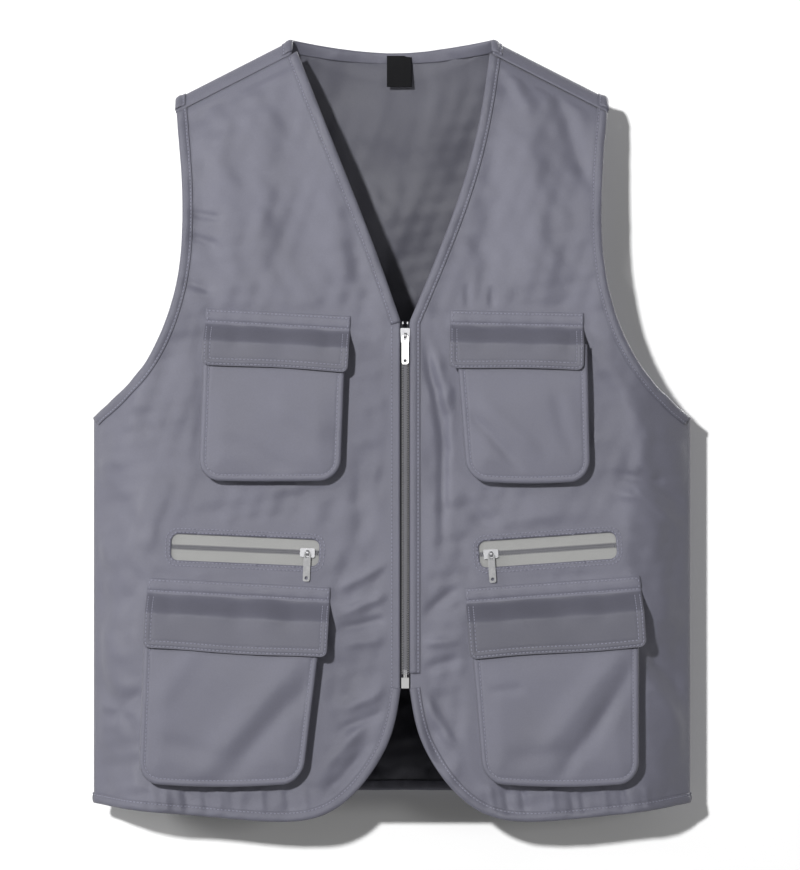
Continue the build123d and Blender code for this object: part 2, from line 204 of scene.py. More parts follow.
# %% [markdown]
# ## Smooth lines
# The edges of the vest are smooth curves through a few points. A natural cubic spline goes
# through every point with the least bending, as a thin wooden lath does. Its samples
# are then spaced evenly, because uneven spacing would show in the stitches.

# %% Smooth lines
def even(line, count):
    """The same line with that many evenly spaced points."""
    line = np.asarray(line, float)
    walked = steps(line)
    return np.stack([np.interp(np.linspace(0, walked[-1], count), walked, c) for c in line.T], axis=1)


def length_of(line):
    return float(steps(line)[-1])


def smooth_line(points, count=400):
    """A natural cubic spline through the points."""
    p = np.array(points, float)
    at = steps(p)
    step, last = np.diff(at), len(p) - 1
    system, pull = np.eye(last + 1), np.zeros_like(p)
    for i in range(1, last):
        system[i, i - 1:i + 2] = step[i - 1], 2 * (step[i - 1] + step[i]), step[i]
        pull[i] = 6 * ((p[i + 1] - p[i]) / step[i] - (p[i] - p[i - 1]) / step[i - 1])
    bend = np.linalg.solve(system, pull)
    t = np.linspace(0, at[-1], 4 * count)
    i = np.clip(np.searchsorted(at, t, side="right") - 1, 0, last - 1)
    gone, left, h = (t - at[i])[:, None], (at[i + 1] - t)[:, None], step[i][:, None]
    line = ((bend[i] * left ** 3 + bend[i + 1] * gone ** 3) / (6 * h)
            + (p[i] / h - bend[i] * h / 6) * left + (p[i + 1] / h - bend[i + 1] * h / 6) * gone)
    return even(line, count)


def x_at(line, z):
    """Where a line that runs downwards is at a height."""
    return np.interp(-np.asarray(z, float), -line[:, 1], line[:, 0])


def ease(t):
    """0 below 0, 1 above 1, and smooth in between."""
    t = np.clip(t, 0, 1)
    return t * t * (3 - 2 * t)


# %% [markdown]
# ## The outline of the vest
# These few points are the whole cut of the vest: the armholes, the V of the neck, the
# rounded hem of each front and the hem and neck of the back. `side` is -1 for
# the wearer's right and 1 for the left; the zip hangs a little to the left of the middle.

# %% Outline
zip_x = 12.5  # the zip, from the middle of the vest
edge_gap = 5.0  # from the zip to the edge of a front
half_width = 285.0
neck_half = 96.0
tip_x, tip_z = 206.0, -56.0  # outer end of the shoulder
v_bottom = -270.0
cutaway_top = -617.0
side_hem = -728.0
back_hem_rise = 9.0
seam_drop = 14.0  # the shoulder seam lies this far down the front
sides = {"right": -1, "left": 1}


def mirror(points, side):
    return [(side * x, z) for x, z in points]


armhole = [(tip_x, tip_z), (198, -154), (207, -249), (246, -325), (half_width, -361)]
armholes = {side: smooth_line(mirror(armhole, side)) for side in (-1, 1)}
zip_edges = {side: zip_x + side * edge_gap for side in (-1, 1)}
v_shares = {-1: (0.60, 0.24), 1: (0.77, 0.37)}
necks, hems = {}, {}
for side in (-1, 1):
    low, spread = zip_edges[side], side * neck_half - zip_edges[side]
    near, far = v_shares[side]
    necks[side] = smooth_line([(side * neck_half, 0), (low + near * spread, -105.3),
                               (low + far * spread, -199.8), (low, v_bottom)])
    hems[side] = smooth_line([(low, cutaway_top), (low + side * 9, -661), (low + side * 24, -691),
                              (low + side * 70, -735), (low + side * 145, -741),
                              (side * half_width, side_hem)])
back_neck = smooth_line([(-neck_half, 0), (0, -11), (neck_half, 0)])


def back_hem(x):
    """Height of the back's hem, which rises a little in the middle."""
    return side_hem + back_hem_rise - back_hem_rise * (x / half_width) ** 2


print("armhole", round(length_of(armholes[1])), "mm, front hem", round(length_of(hems[1])), "mm")

# %% [markdown]
# ## The shape of the body
# From the side, each shoulder is half of a tall thin ellipse, and below the chest the cloth
# hangs straight. `c` says how far down the cloth a point is: 0 on the ridge of the shoulder,
# 1 at the chest, and 1 more for every 260 mm below it. A point's place on the flat
# cloth is then X and `c`, and this function lays it on the body, `lift` millimetres
# off the cloth.

# %% Body shape
chest_line = -260.0
body_depth = 40.0
flat_half = 222.0  # the sides are rounded outside this
shoulder_slope = -tip_z / (tip_x - neck_half)
ridge_round = 40.0  # the ridge is rounded off within this of the middle


def ridge(x):
    """Height of the shoulder ridge, rounded off in the middle of the neck."""
    a = np.abs(x)
    rounded = a * a / (2 * ridge_round) + ridge_round / 2
    return shoulder_slope * (neck_half - np.where(a < ridge_round, rounded, a))


def under_seam(line):
    """The part of a line that lies below the shoulder seam."""
    return line[line[:, 1] < ridge(line[:, 0]) - seam_drop - 0.3]


def down(x, z):
    """How far down the cloth a height is."""
    upper = np.arccos(np.clip((z - chest_line) / (ridge(x) - chest_line), -1, 1)) / (math.pi / 2)
    return np.where(z > chest_line, upper, 1 + (z - chest_line) / chest_line)


def on_body(x, c, lift=0.0, facing=-1):
    """Points on the front (facing -1) or the back (facing 1) of the vest."""
    x, c, lift = np.broadcast_arrays(np.asarray(x, float), np.asarray(c, float), np.asarray(lift, float))
    turn, reach = np.minimum(c, 1) * math.pi / 2, ridge(x) - chest_line
    side_round = half_width - flat_half
    rounding = np.clip((np.abs(x) - flat_half) / side_round, 0, 1)
    lean = -shoulder_slope * np.clip(x / ridge_round, -1, 1)
    z = np.where(c < 1, chest_line + reach * np.cos(turn), chest_line * c)
    point = together(x, facing * body_depth * np.sin(turn) * (1 - rounding ** 2), z)
    normal = together(reach * np.sin(turn) * 2 * body_depth * rounding / side_round * np.sign(x)
                 - body_depth * lean * np.cos(turn) ** 2,
                 facing * reach * np.sin(turn), body_depth * np.cos(turn))
    lift = lift + folds(x, z, facing) * (np.abs(c) > 0.3)
    return point + unit(normal) * lift[..., None]


def stretch(x, c):
    """Millimetres of cloth for one unit of c, at a place on the body."""
    turn, reach = np.minimum(c, 1) * math.pi / 2, ridge(x) - chest_line
    over_shoulder = math.pi / 2 * np.hypot(body_depth * np.cos(turn), reach * np.sin(turn))
    return np.where(c < 1, over_shoulder, -chest_line)


# %% [markdown]
# ## Folds
# Real cloth is never flat. Each fold is a stroke: a line on the cloth, how wide it is and how
# high it stands (or how deep it lies, where the number is negative). A few dozen
# small waves with a fixed seed add the slight unevenness of pressed cloth. Folds
# die out at seams, zips and under pockets, where the cloth is held.

# %% Pocket places
flap_pockets = {
    "chest_right": dict(side=-1, top=-261.0, flap=137.0, wide=134.0, x=-110.5, flap_x=-107.5,
                        bottom=-420.0, drop=53.0, deep=16.0, tilt=3.2, lean=(-5, -5), sag=1),
    "chest_left": dict(side=1, top=-260.5, flap=126.0, wide=124.0, x=122.5, flap_x=118.5,
                       bottom=-420.0, drop=54.0, deep=16.0, tilt=1.2, lean=(10, 3), sag=3),
    "hip_right": dict(side=-1, top=-517.0, flap=173.0, wide=168.0, x=-149.0, flap_x=-144.5,
                      bottom=-705.0, drop=65.5, deep=18.0, tilt=3.1, lean=(-6, -19), sag=4),
    "hip_left": dict(side=1, top=-516.5, flap=166.0, wide=160.0, x=153.0, flap_x=152.0,
                     bottom=-705.0, drop=66.0, deep=18.0, tilt=-4.1, lean=(13, 0), sag=4),
}
zip_pockets = {
    "right": dict(side=-1, x=-139.0, z=-486.0, long=140.0, tilt=2.5),
    "left": dict(side=1, x=147.5, z=-486.0, long=130.0, tilt=-4.0),
}
window_half = 12.5  # half the height of a zip pocket's window
window_corner = 6.25


def tilted(across, up, middle, tilt):
    """A point given on a tilted pocket, as X and Z on the vest."""
    turn = math.radians(tilt)
    return (middle[0] + across * math.cos(turn) + up * math.sin(turn),
            middle[1] - across * math.sin(turn) + up * math.cos(turn))


def untilted(x, z, middle, tilt):
    """The other way: a point on the vest, as across and up on the tilted pocket."""
    turn = math.radians(tilt)
    dx, dz = x - middle[0], z - middle[1]
    return dx * math.cos(turn) - dz * math.sin(turn), dx * math.sin(turn) + dz * math.cos(turn)


def outside_box(a, b, half_a, half_b, corner):
    """Distance from a rounded rectangle, negative inside it."""
    qa, qb = np.abs(a) - half_a + corner, np.abs(b) - half_b + corner
    return np.hypot(np.maximum(qa, 0), np.maximum(qb, 0)) + np.minimum(np.maximum(qa, qb), 0) - corner


def outside_window(x, z, pocket):
    """Distance from the window of a zip pocket, negative inside it."""
    a, b = untilted(x, z, (pocket["x"], pocket["z"]), pocket["tilt"])
    return outside_box(a, b, pocket["long"] / 2, window_half, window_corner)


# %% Folds
# Each stroke: points along it, width, height.
front_strokes = [
    ([(-165, -90), (-150, -240)], 14, 2.2), ([(-120, -60), (-125, -230)], 16, 1.8),
    ([(-190, -166), (-165, -172)], 3.5, -1.1), ([(-188, -190), (-168, -196)], 3.5, -1.2),
    ([(-195, -232), (-172, -240)], 4, -1.2), ([(-60, -130), (-48, -230)], 14, 1.4),
    ([(112, -22), (128, -66)], 8, 1.6), ([(155, -44), (187, -139)], 9, -1.8),
    ([(128, -78), (143, -249)], 20, 2.6), ([(95, -120), (88, -235)], 12, -1.6),
    ([(31, -301), (43, -344), (49, -382), (48, -458)], 5, -2.6),
    ([(40, -300), (54, -350), (58, -400)], 6, 1.4),
    ([(72, -235), (72, -258)], 4, -1.0), ([(95, -238), (95, -258)], 4, -1.0),
    ([(-29, -400), (-29, -467)], 9, -1.6), ([(-230, -330), (-268, -420)], 14, 2.4),
    ([(-205, -290), (-238, -370)], 10, -1.6), ([(-40, -180), (-22, -260)], 9, -1.2),
    ([(217, -415), (245, -420), (274, -439)], 5, -1.7), ([(215, -432), (240, -438), (262, -455)], 5, 1.4),
    ([(205, -300), (230, -360), (240, -410)], 11, 2.0),
    ([(-45, -520), (-7, -501)], 5, 1.6), ([(-45, -545), (-8, -530)], 5, 1.7),
    ([(-45, -560), (-8, -552)], 4.5, -1.6), ([(-40, -575), (-8, -571)], 5, 1.4),
    ([(-40, -634), (-7, -619)], 6, 1.8), ([(-45, -655), (-8, -640)], 5, -1.8),
    ([(-59, -714), (-26, -676)], 6, -2.0), ([(-70, -700), (-30, -655)], 6, 1.6),
    ([(27, -548), (60, -524)], 5, -1.8), ([(25, -575), (60, -572)], 5, 1.7),
    ([(27, -600), (60, -590)], 5, -1.5), ([(31, -629), (55, -667)], 6, 1.9),
    ([(28, -650), (46, -690)], 5, -1.6), ([(-277, -610), (-258, -638), (-235, -619)], 8, -1.7),
    ([(245, -581), (283, -629)], 7, -1.8), ([(245, -610), (275, -660)], 8, 1.5),
    ([(-262, -500), (-268, -640)], 12, 1.8), ([(250, -470), (262, -560)], 12, 1.6),
    ([(-70, -440), (-76, -475)], 8, 1.2), ([(70, -440), (95, -470)], 10, -1.4),
]
hem_puckers = [(-232, -1.3), (-215, 1.0), (-197, -1.4), (-178, -1.4), (-165, 1.1), (-152, -1.3),
               (-125, 1.0), (-100, -1.3), (-84, 1.0), (93, 1.0), (107, -1.4), (123, -1.4), (150, 1.1),
               (169, -1.3), (179, -1.3), (200, 1.0), (217, -1.3), (240, 1.0)]
front_strokes += [([(x, -712), (x + 3, -733)], 3.5, depth) for x, depth in hem_puckers]
back_strokes = [
    ([(-120, -80), (-128, -300)], 26, 2.4), ([(118, -70), (140, -280)], 24, 2.2),
    ([(-20, -140), (-34, -420)], 34, -2.2), ([(40, -200), (60, -560)], 30, 2.4),
    ([(-180, -420), (-150, -640)], 26, 2.6), ([(190, -430), (165, -650)], 24, -2.2),
    ([(-238, -392), (-196, -436)], 8, -2.0), ([(238, -392), (196, -440)], 8, -2.0),
    ([(-90, -560), (-60, -700)], 18, 2.0), ([(90, -600), (110, -705)], 16, -1.8),
    ([(-40, -20), (-34, -120)], 16, 1.2), ([(46, -20), (38, -130)], 16, -1.2),
]
back_strokes += [([(x, -702), (x + 2, -722)], 4, 1.2 * (-1) ** i) for i, x in enumerate(range(-250, 251, 26))]


def stroke_height(x, z, strokes):
    """All strokes together, in millimetres off the cloth."""
    total = np.zeros(np.broadcast(x, z).shape)
    for line, wide, tall in strokes:
        line = np.array(line, float)
        step = steps(line)
        best, along = np.full(total.shape, 1e9), np.zeros(total.shape)
        for (ax, az), (bx, bz), walked in zip(line, line[1:], step):
            run = math.hypot(bx - ax, bz - az)
            t = np.clip(((x - ax) * (bx - ax) + (z - az) * (bz - az)) / run ** 2, -0.3, 1.3)
            away = np.hypot(x - ax - t * (bx - ax), z - az - t * (bz - az))
            nearer = away < best
            best = np.where(nearer, away, best)
            along = np.where(nearer, (walked + t * run) / step[-1], along)
        ends = ease((along + 0.3) / 0.5) * ease((1.3 - along) / 0.5)
        total += tall * np.exp(-(best / wide) ** 2) * ends
    return total


wave_random = np.random.default_rng(7)


def waves(count, shortest, longest, tall):
    """Random plane waves: direction, place and height of each."""
    length = wave_random.uniform(shortest, longest, count)
    angle = wave_random.uniform(0, math.pi, count)
    return (2 * math.pi / length * np.cos(angle), 2 * math.pi / length * np.sin(angle),
            wave_random.uniform(0, 2 * math.pi, count), tall / math.sqrt(count))


soft_waves = waves(14, 60, 130, 1.6)
small_waves = waves(26, 14, 36, 0.46)


def ripple(x, z, wave):
    """Height of one set of waves at a place."""
    kx, kz, start, tall = wave
    return tall * sum(np.sin(a * x + b * z + s) for a, b, s in zip(kx, kz, start))


fold_strength = 1.7


def folds(x, z, facing):
    """How far the cloth stands off the body shape, in millimetres."""
    x, z = np.broadcast_arrays(x, z)
    shifted = x + facing * 300  # so that the back's waves aren't those of the fronts
    raw = ripple(shifted, z, soft_waves) + ripple(shifted, z, small_waves)
    raw = raw + fold_strength * stroke_height(x, z, front_strokes if facing < 0 else back_strokes)
    held = ease((half_width - np.abs(x)) / 14) * ease((ridge(x) - seam_drop - z) / 24 if facing < 0
                                                      else (ridge(x) - z) / 40)
    if facing < 0:
        held = held * ease((np.abs(x - zip_x) - 13) / 16 + (z > v_bottom) * (z - v_bottom) / 40)
        for pocket in flap_pockets.values():
            middle = (pocket["x"], (pocket["top"] + pocket["bottom"]) / 2)
            away = outside_box(x - middle[0], z - middle[1], pocket["wide"] / 2,
                               (pocket["top"] - pocket["bottom"]) / 2, 12)
            held = held * (0.12 + 0.88 * ease((away + 2) / 14))
        for pocket in zip_pockets.values():
            held = held * (0.1 + 0.9 * ease((outside_window(x, z, pocket) - 6) / 14))
    return raw * held


sample = folds(np.linspace(-280, 280, 200)[None, :], np.linspace(-90, -720, 200)[:, None], -1)
print("front folds run from", round(float(sample.min()), 1), "to", round(float(sample.max()), 1), "mm")

# %% [markdown]
# ## Finishes
# Woven cloth, tapes and thread share one effect: fine diagonal lines where the threads
# cross, a little unevenness in colour, and a matching bump. It is built once as a node
# group, so that every cloth on the vest gets it with its own colour and thread count.

# %% Weave group
def new_group(name, inputs, outputs):
    """An empty node group with named sockets."""
    group = bpy.data.node_groups.new(name, "ShaderNodeTree")
    for socket, kind, value in inputs:
        made = group.interface.new_socket(name=socket, in_out="INPUT", socket_type=kind)
        made.default_value = value
    for socket, kind in outputs:
        group.interface.new_socket(name=socket, in_out="OUTPUT", socket_type=kind)
    return group, group.nodes.new("NodeGroupInput"), group.nodes.new("NodeGroupOutput")


def math_node(tree, operation, a, b=None):
    """A Math node; a and b are sockets or numbers."""
    node = tree.nodes.new("ShaderNodeMath")
    node.operation = operation
    for slot, value in zip(node.inputs, (a, b)):
        if value is None:
            continue
        if isinstance(value, (int, float)):
            slot.default_value = value
        else:
            tree.links.new(value, slot)
    return node.outputs[0]


def noise_node(tree, scale, detail):
    """Noise that sits still on the object."""
    node = tree.nodes.new("ShaderNodeTexNoise")
    node.inputs["Scale"].default_value = scale
    node.inputs["Detail"].default_value = detail
    place = tree.nodes.new("ShaderNodeTexCoord")
    tree.links.new(place.outputs["Object"], node.inputs["Vector"])
    return node.outputs["Fac"]


def mix_colours(tree, share, a, b):
    """A colour between a and b."""
    node = tree.nodes.new("ShaderNodeMix")
    node.data_type = "RGBA"
    tree.links.new(share, node.inputs["Factor"])
    for name, value in (("A", a), ("B", b)):
        tree.links.new(value, next(s for s in node.inputs if s.name == name and s.type == "RGBA"))
    return next(s for s in node.outputs if s.type == "RGBA")


weave, into, out = new_group(
    "weave",
    [("Light thread", "NodeSocketColor", (0.2, 0.2, 0.25, 1)),
     ("Dark thread", "NodeSocketColor", (0.15, 0.15, 0.2, 1)),
     ("Threads per metre", "NodeSocketFloat", 900.0), ("Roughness", "NodeSocketFloat", 0.7)],
    [("Colour", "NodeSocketColor"), ("Roughness", "NodeSocketFloat"), ("Height", "NodeSocketFloat")])
place = weave.nodes.new("ShaderNodeUVMap")
place.uv_map = "cloth"
parts = weave.nodes.new("ShaderNodeSeparateXYZ")
weave.links.new(place.outputs[0], parts.inputs[0])


def times(a, b):
    return math_node(weave, "MULTIPLY", a, b)


def plus(a, b):
    return math_node(weave, "ADD", a, b)


turns = times(into.outputs["Threads per metre"], 2 * math.pi)
warp, weft = times(parts.outputs[0], turns), times(parts.outputs[1], turns)
diagonal = math_node(weave, "SINE", plus(warp, weft))
crossing = math_node(weave, "SINE", math_node(weave, "SUBTRACT", times(warp, 2.0), weft))
threads = plus(plus(times(diagonal, 0.32), times(crossing, 0.18)), 0.5)
cloudy, slubs = noise_node(weave, 22.0, 3.0), noise_node(weave, 700.0, 2.0)
share = plus(plus(plus(times(threads, 0.35), times(cloudy, 0.7)), times(slubs, 0.45)), -0.25)
colour = mix_colours(weave, share, into.outputs["Dark thread"], into.outputs["Light thread"])
weave.links.new(colour, out.inputs["Colour"])
weave.links.new(plus(into.outputs["Roughness"], times(plus(cloudy, -0.5), 0.3)), out.inputs["Roughness"])
weave.links.new(plus(threads, times(slubs, 0.8)), out.inputs["Height"])
print("weave group has", len(weave.nodes), "nodes")


# %% Cloth materials
def shaded(colour, factor):
    """A colour made darker or lighter."""
    return tuple(factor * part for part in colour) + (1.0,)


def grouped_material(name, group, values, depth, strength):
    """A material whose colour, roughness and bump come from a node group."""
    material = bpy.data.materials.new(name)
    material.use_nodes = True
    tree = material.node_tree
    shader, effect = tree.nodes["Principled BSDF"], tree.nodes.new("ShaderNodeGroup")
    effect.node_tree = group
    for socket, value in values.items():
        effect.inputs[socket].default_value = value
    relief = tree.nodes.new("ShaderNodeBump")
    relief.inputs["Strength"].default_value = strength
    relief.inputs["Distance"].default_value = depth
    tree.links.new(effect.outputs["Height"], relief.inputs["Height"])
    tree.links.new(relief.outputs[0], shader.inputs["Normal"])
    tree.links.new(effect.outputs["Colour"], shader.inputs["Base Color"])
    tree.links.new(effect.outputs["Roughness"], shader.inputs["Roughness"])
    return material, shader


def cloth_material(name, colour, threads, contrast=0.2, rough=0.5, sheen=0.1, bump=0.35, gloss=0.5):
    """Cloth of one colour, with threads, a slight sheen and a bump."""
    material, shader = grouped_material(name, weave, {
        "Light thread": shaded(colour, 1 + contrast), "Dark thread": shaded(colour, 1 - contrast),
        "Threads per metre": threads, "Roughness": rough}, 0.0004, bump)
    shader.inputs["Sheen Weight"].default_value = sheen
    shader.inputs["Specular IOR Level"].default_value = gloss
    return material


vest_grey = (0.120, 0.120, 0.155)
vest_cloth = cloth_material("vest cloth", vest_grey, 900)
# Painted shade: below their bands the flaps get a copy of the vest cloth darkened to 0.80, and the left hip
# flap one darkened to 0.68, for the shade that lies on them.
flap_painted_shade = cloth_material("flap cloth", shaded(vest_grey, 0.80)[:3], 900)
darker_flap_painted_shade = cloth_material("deep flap cloth", shaded(vest_grey, 0.68)[:3], 900)
# Painted shade: the inner side of the back is the vest cloth darkened to 0.62, for the shade inside the vest.
inner_side_painted_shade = cloth_material("vest cloth, inner side", shaded(vest_grey, 0.62)[:3], 900)
binding_cloth = cloth_material("binding cloth", shaded(vest_grey, 0.92)[:3], 1100, 0.2)
thread_finish = cloth_material("sewing thread", shaded(vest_grey, 1.75)[:3], 1600, 0.2, 0.6, 0.2, 0.4)
label_cloth = cloth_material("label satin", (0.004, 0.004, 0.005), 2200, 0.3, 0.7, 0.0, 0.3, 0.15)
light_tape = cloth_material("light zip tape", (0.31, 0.31, 0.305), 1300, 0.12, 0.7, 0.0, 0.5)
dark_tape = cloth_material("dark zip tape", (0.018, 0.018, 0.022), 1300, 0.15, 0.7, 0.0, 0.5, 0.2)
lining = cloth_material("pocket lining", (0.20, 0.205, 0.23), 1000, 0.1, 0.8, 0.1, 0.3)
hook_and_loop = cloth_material("hook and loop", (0.16, 0.16, 0.19), 500, 0.5, 0.9, 0.4, 1.0)

# %% [markdown]
# Metal and moulded pieces are scuffed rather than woven. Their group puts out a colour, a
# roughness and a fine bump from two noises, one cloudy and one fine.

# %% Scuffed metal and plastic
scuff, into, out = new_group(
    "scuffs",
    [("Clean", "NodeSocketColor", (0.7, 0.7, 0.7, 1)), ("Worn", "NodeSocketColor", (0.4, 0.4, 0.4, 1)),
     ("Roughness", "NodeSocketFloat", 0.3), ("Wear", "NodeSocketFloat", 0.4)],
    [("Colour", "NodeSocketColor"), ("Roughness", "NodeSocketFloat"), ("Height", "NodeSocketFloat")])
patches, scratches = noise_node(scuff, 260.0, 4.0), noise_node(scuff, 1800.0, 2.0)
marks = math_node(scuff, "MULTIPLY", math_node(scuff, "ADD", patches, scratches), into.outputs["Wear"])
scuff.links.new(mix_colours(scuff, marks, into.outputs["Clean"], into.outputs["Worn"]), out.inputs["Colour"])
rougher = math_node(scuff, "ADD", into.outputs["Roughness"], math_node(scuff, "MULTIPLY", marks, 0.3))
scuff.links.new(rougher, out.inputs["Roughness"])
scuff.links.new(scratches, out.inputs["Height"])


def hard_material(name, clean, worn, rough, metallic, wear=0.4):
    """Metal or moulded plastic."""
    material, shader = grouped_material(name, scuff, {
        "Clean": (*clean, 1), "Worn": (*worn, 1), "Roughness": rough, "Wear": wear}, 0.0001, 0.15)
    shader.inputs["Metallic"].default_value = metallic
    return material


tab_metal = hard_material("tab metal", (0.93, 0.93, 0.92), (0.62, 0.62, 0.61), 0.3, 0.85)
pocket_metal = hard_material("pocket tab metal", (0.34, 0.34, 0.34), (0.14, 0.14, 0.15), 0.4, 0.6, 0.5)
slider_metal = hard_material("slider metal", (0.42, 0.42, 0.43), (0.2, 0.2, 0.21), 0.35, 0.9)
coil_plastic = hard_material("coil plastic", (0.26, 0.26, 0.28), (0.17, 0.17, 0.19), 0.45, 0.0)
box_plastic = hard_material("box plastic", (0.42, 0.42, 0.42), (0.3, 0.3, 0.3), 0.45, 0.0)

# %% [markdown]
# ## The stage
# A white wall just behind the vest takes its soft shadow, and a pale floor lies below. Seen
# from behind, the wall is let through, so that the back of the vest shows.

# %% Stage
def stage_sheet(name, corners, colour, see_through):
    """A flat sheet that belongs to the studio and not to the vest."""
    mesh = bpy.data.meshes.new(name)
    mesh.from_pydata(corners, [], [(0, 1, 2, 3)])
    sheet = bpy.data.objects.new(name, mesh)
    bpy.context.scene.collection.objects.link(sheet)
    material = bpy.data.materials.new(name)
    material.use_nodes = True
    tree = material.node_tree
    shader, output = tree.nodes["Principled BSDF"], tree.nodes["Material Output"]
    shader.inputs["Base Color"].default_value = (*colour, 1)
    shader.inputs["Roughness"].default_value = 0.95
    shader.inputs["Specular IOR Level"].default_value = 0.0
    if see_through:
        mix, clear = tree.nodes.new("ShaderNodeMixShader"), tree.nodes.new("ShaderNodeBsdfTransparent")
        tree.links.new(tree.nodes.new("ShaderNodeNewGeometry").outputs["Backfacing"], mix.inputs[0])
        tree.links.new(shader.outputs[0], mix.inputs[1])
        tree.links.new(clear.outputs[0], mix.inputs[2])
        tree.links.new(mix.outputs[0], output.inputs["Surface"])
        sheet.visible_shadow = False
    mesh.materials.append(material)
    sheet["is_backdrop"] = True
    return sheet


wall_y, floor_z = 0.051, -0.80
wall = stage_sheet("wall", [(-3, wall_y, floor_z), (3, wall_y, floor_z), (3, wall_y, 2.2), (-3, wall_y, 2.2)],
                   (0.97, 0.97, 0.97), True)
floor = stage_sheet("floor", [(-6, -6, floor_z), (6, -6, floor_z), (6, 6, floor_z), (-6, 6, floor_z)],
                    (0.86, 0.86, 0.86), False)
for sheet in (wall, floor):
    sheet.visible_diffuse = False


# %% Lights
def soft_light(name, place, aim, watts, size):
    """A square lamp that points at a place."""
    lamp = bpy.data.lights.new(name, "AREA")
    lamp.energy, lamp.size = watts, size
    light = bpy.data.objects.new(name, lamp)
    light.location = place
    light.rotation_euler = (Vector(aim) - Vector(place)).to_track_quat("-Z", "Y").to_euler()
    bpy.context.scene.collection.objects.link(light)


# %% [markdown]
# The vest hangs open below the zip, and its inside is dark there. In a studio, a black card
# called a flag is hung inside the garment for that. The camera doesn't see this one.

# %% Flag and lamps
flag = stage_sheet("flag", [(-0.09, -0.028, -0.725), (0.11, -0.028, -0.725), (0.11, -0.028, -0.60),
                            (-0.09, -0.028, -0.60)], (0.0, 0.0, 0.0), False)
flag.visible_camera = False
middle = (0.0, 0.0, -0.38)
soft_light("key", (-1.5, -4.55, 0.9), middle, 240, 0.24)
soft_light("rake", (-3.4, -1.3, 0.7), middle, 50, 1.0)
soft_light("fill", (2.4, -3.6, -0.2), middle, 15, 0.8)
soft_light("rear key", (2.6, 3.2, 1.4), middle, 95, 0.8)
world = bpy.data.worlds.new("studio")
bpy.context.scene.world = world
world.use_nodes = True
studio = world.node_tree
ambient, seen = studio.nodes["Background"], studio.nodes.new("ShaderNodeBackground")
for shade, strength in ((ambient, 0.19), (seen, 0.95)):
    shade.inputs["Color"].default_value, shade.inputs["Strength"].default_value = (1, 1, 1, 1), strength
either = studio.nodes.new("ShaderNodeMixShader")
studio.links.new(studio.nodes.new("ShaderNodeLightPath").outputs["Is Camera Ray"], either.inputs[0])
studio.links.new(ambient.outputs[0], either.inputs[1])
studio.links.new(seen.outputs[0], either.inputs[2])
studio.links.new(either.outputs[0], studio.nodes["World Output"].inputs["Surface"])

# %% [markdown]
# ## The front panels
# A front could be drawn and filled, but then its mesh would be uneven and would fold badly.
# It is made as a Coons patch instead: the four edges are known, and every inner point is
# a blend of them, so the grid flows with the armhole and the V of the neck.

# %% Patch between four edges
def coons(top, bottom, left, right):
    """A grid of points between four edge lines that share their corners."""
    u = np.linspace(0, 1, len(top))[None, :, None]
    v = np.linspace(0, 1, len(left))[:, None, None]
    corners = ((1 - u) * (1 - v) * top[0] + u * (1 - v) * top[-1]
               + (1 - u) * v * bottom[0] + u * v * bottom[-1])
    return ((1 - v) * top[None] + v * bottom[None] + (1 - u) * left[:, None] + u * right[:, None] - corners)


def front_edge(side):
    """The edge beside the V and the zip, down into the rounded hem."""
    hem = hems[side]
    turn = np.argmax(np.abs(hem[:, 0] - zip_edges[side]) > 38)
    return np.concatenate([under_seam(necks[side]), hem[:turn + 1]]), hem[turn:]


def front_cut(side, columns=118, rows=290):
    """The flat cut of a front: X and Z of a grid of points."""
    inner, hem = front_edge(side)
    outer = np.concatenate([under_seam(armholes[side]), [(side * half_width, side_hem)]])
    edges = []
    for line in (inner, outer):
        z = np.linspace(line[0, 1], line[-1, 1], rows)
        edges.append(together(x_at(line, z), z))
    left, right = edges
    return coons(even([left[0], right[0]], columns), even(hem, columns), left, right)


def cut_windows(cut, faces, pockets):
    """Move the points nearest a zip window onto its outline and take out what is inside."""
    flat = cut.reshape(-1, 2)
    reach, step = 1.35, 0.05  # how far a point may be moved, and a small step for the slope
    for pocket in pockets:
        away = outside_window(flat[:, 0], flat[:, 1], pocket)
        near = np.abs(away) < reach
        x, z = flat[near].T
        slope = np.stack([outside_window(x + step, z, pocket) - away[near],
                          outside_window(x, z + step, pocket) - away[near]], axis=1) / step
        flat[near] -= slope * away[near][:, None]
        away = outside_window(flat[:, 0], flat[:, 1], pocket)
        kept = []
        for face in faces:
            inside = [away[i] < -0.2 for i in face]
            if sum(inside) == 1:
                face = [i for i, gone in zip(face, inside) if not gone]
            elif any(inside) or max(away[i] for i in face) < 0.01:
                continue
            kept.append(face)
        faces = kept
    return flat.reshape(cut.shape), faces


panel_thick = 1.2


def build_front(name, side):
    """A front panel with the window of its zip pocket."""
    cut = front_cut(side)
    cut, faces = cut_windows(cut, grid_faces(*cut.shape[:2]), [zip_pockets[name]])
    x, z = cut[..., 0], cut[..., 1]
    c = down(x, z)
    panel = cloth_piece(f"front_panel_{name}", on_body(x, c), on_body(x, c, -panel_thick), faces,
                        vest_cloth, cut)
    stand_for(panel, "vest_cloth", f"front_panel_{name}")
    print(panel.name, len(panel.data.vertices), "points")
    return panel


front_panels = {side: build_front(name, side) for name, side in sides.items()}

# %% [markdown]
# ## The back panel
# The back runs over the ridge of each shoulder and ends in a lip that is sewn to the
# fronts. Its grid has extra rows above the ridge, which are only used over
# the two shoulders; the cells over the neck are left out.

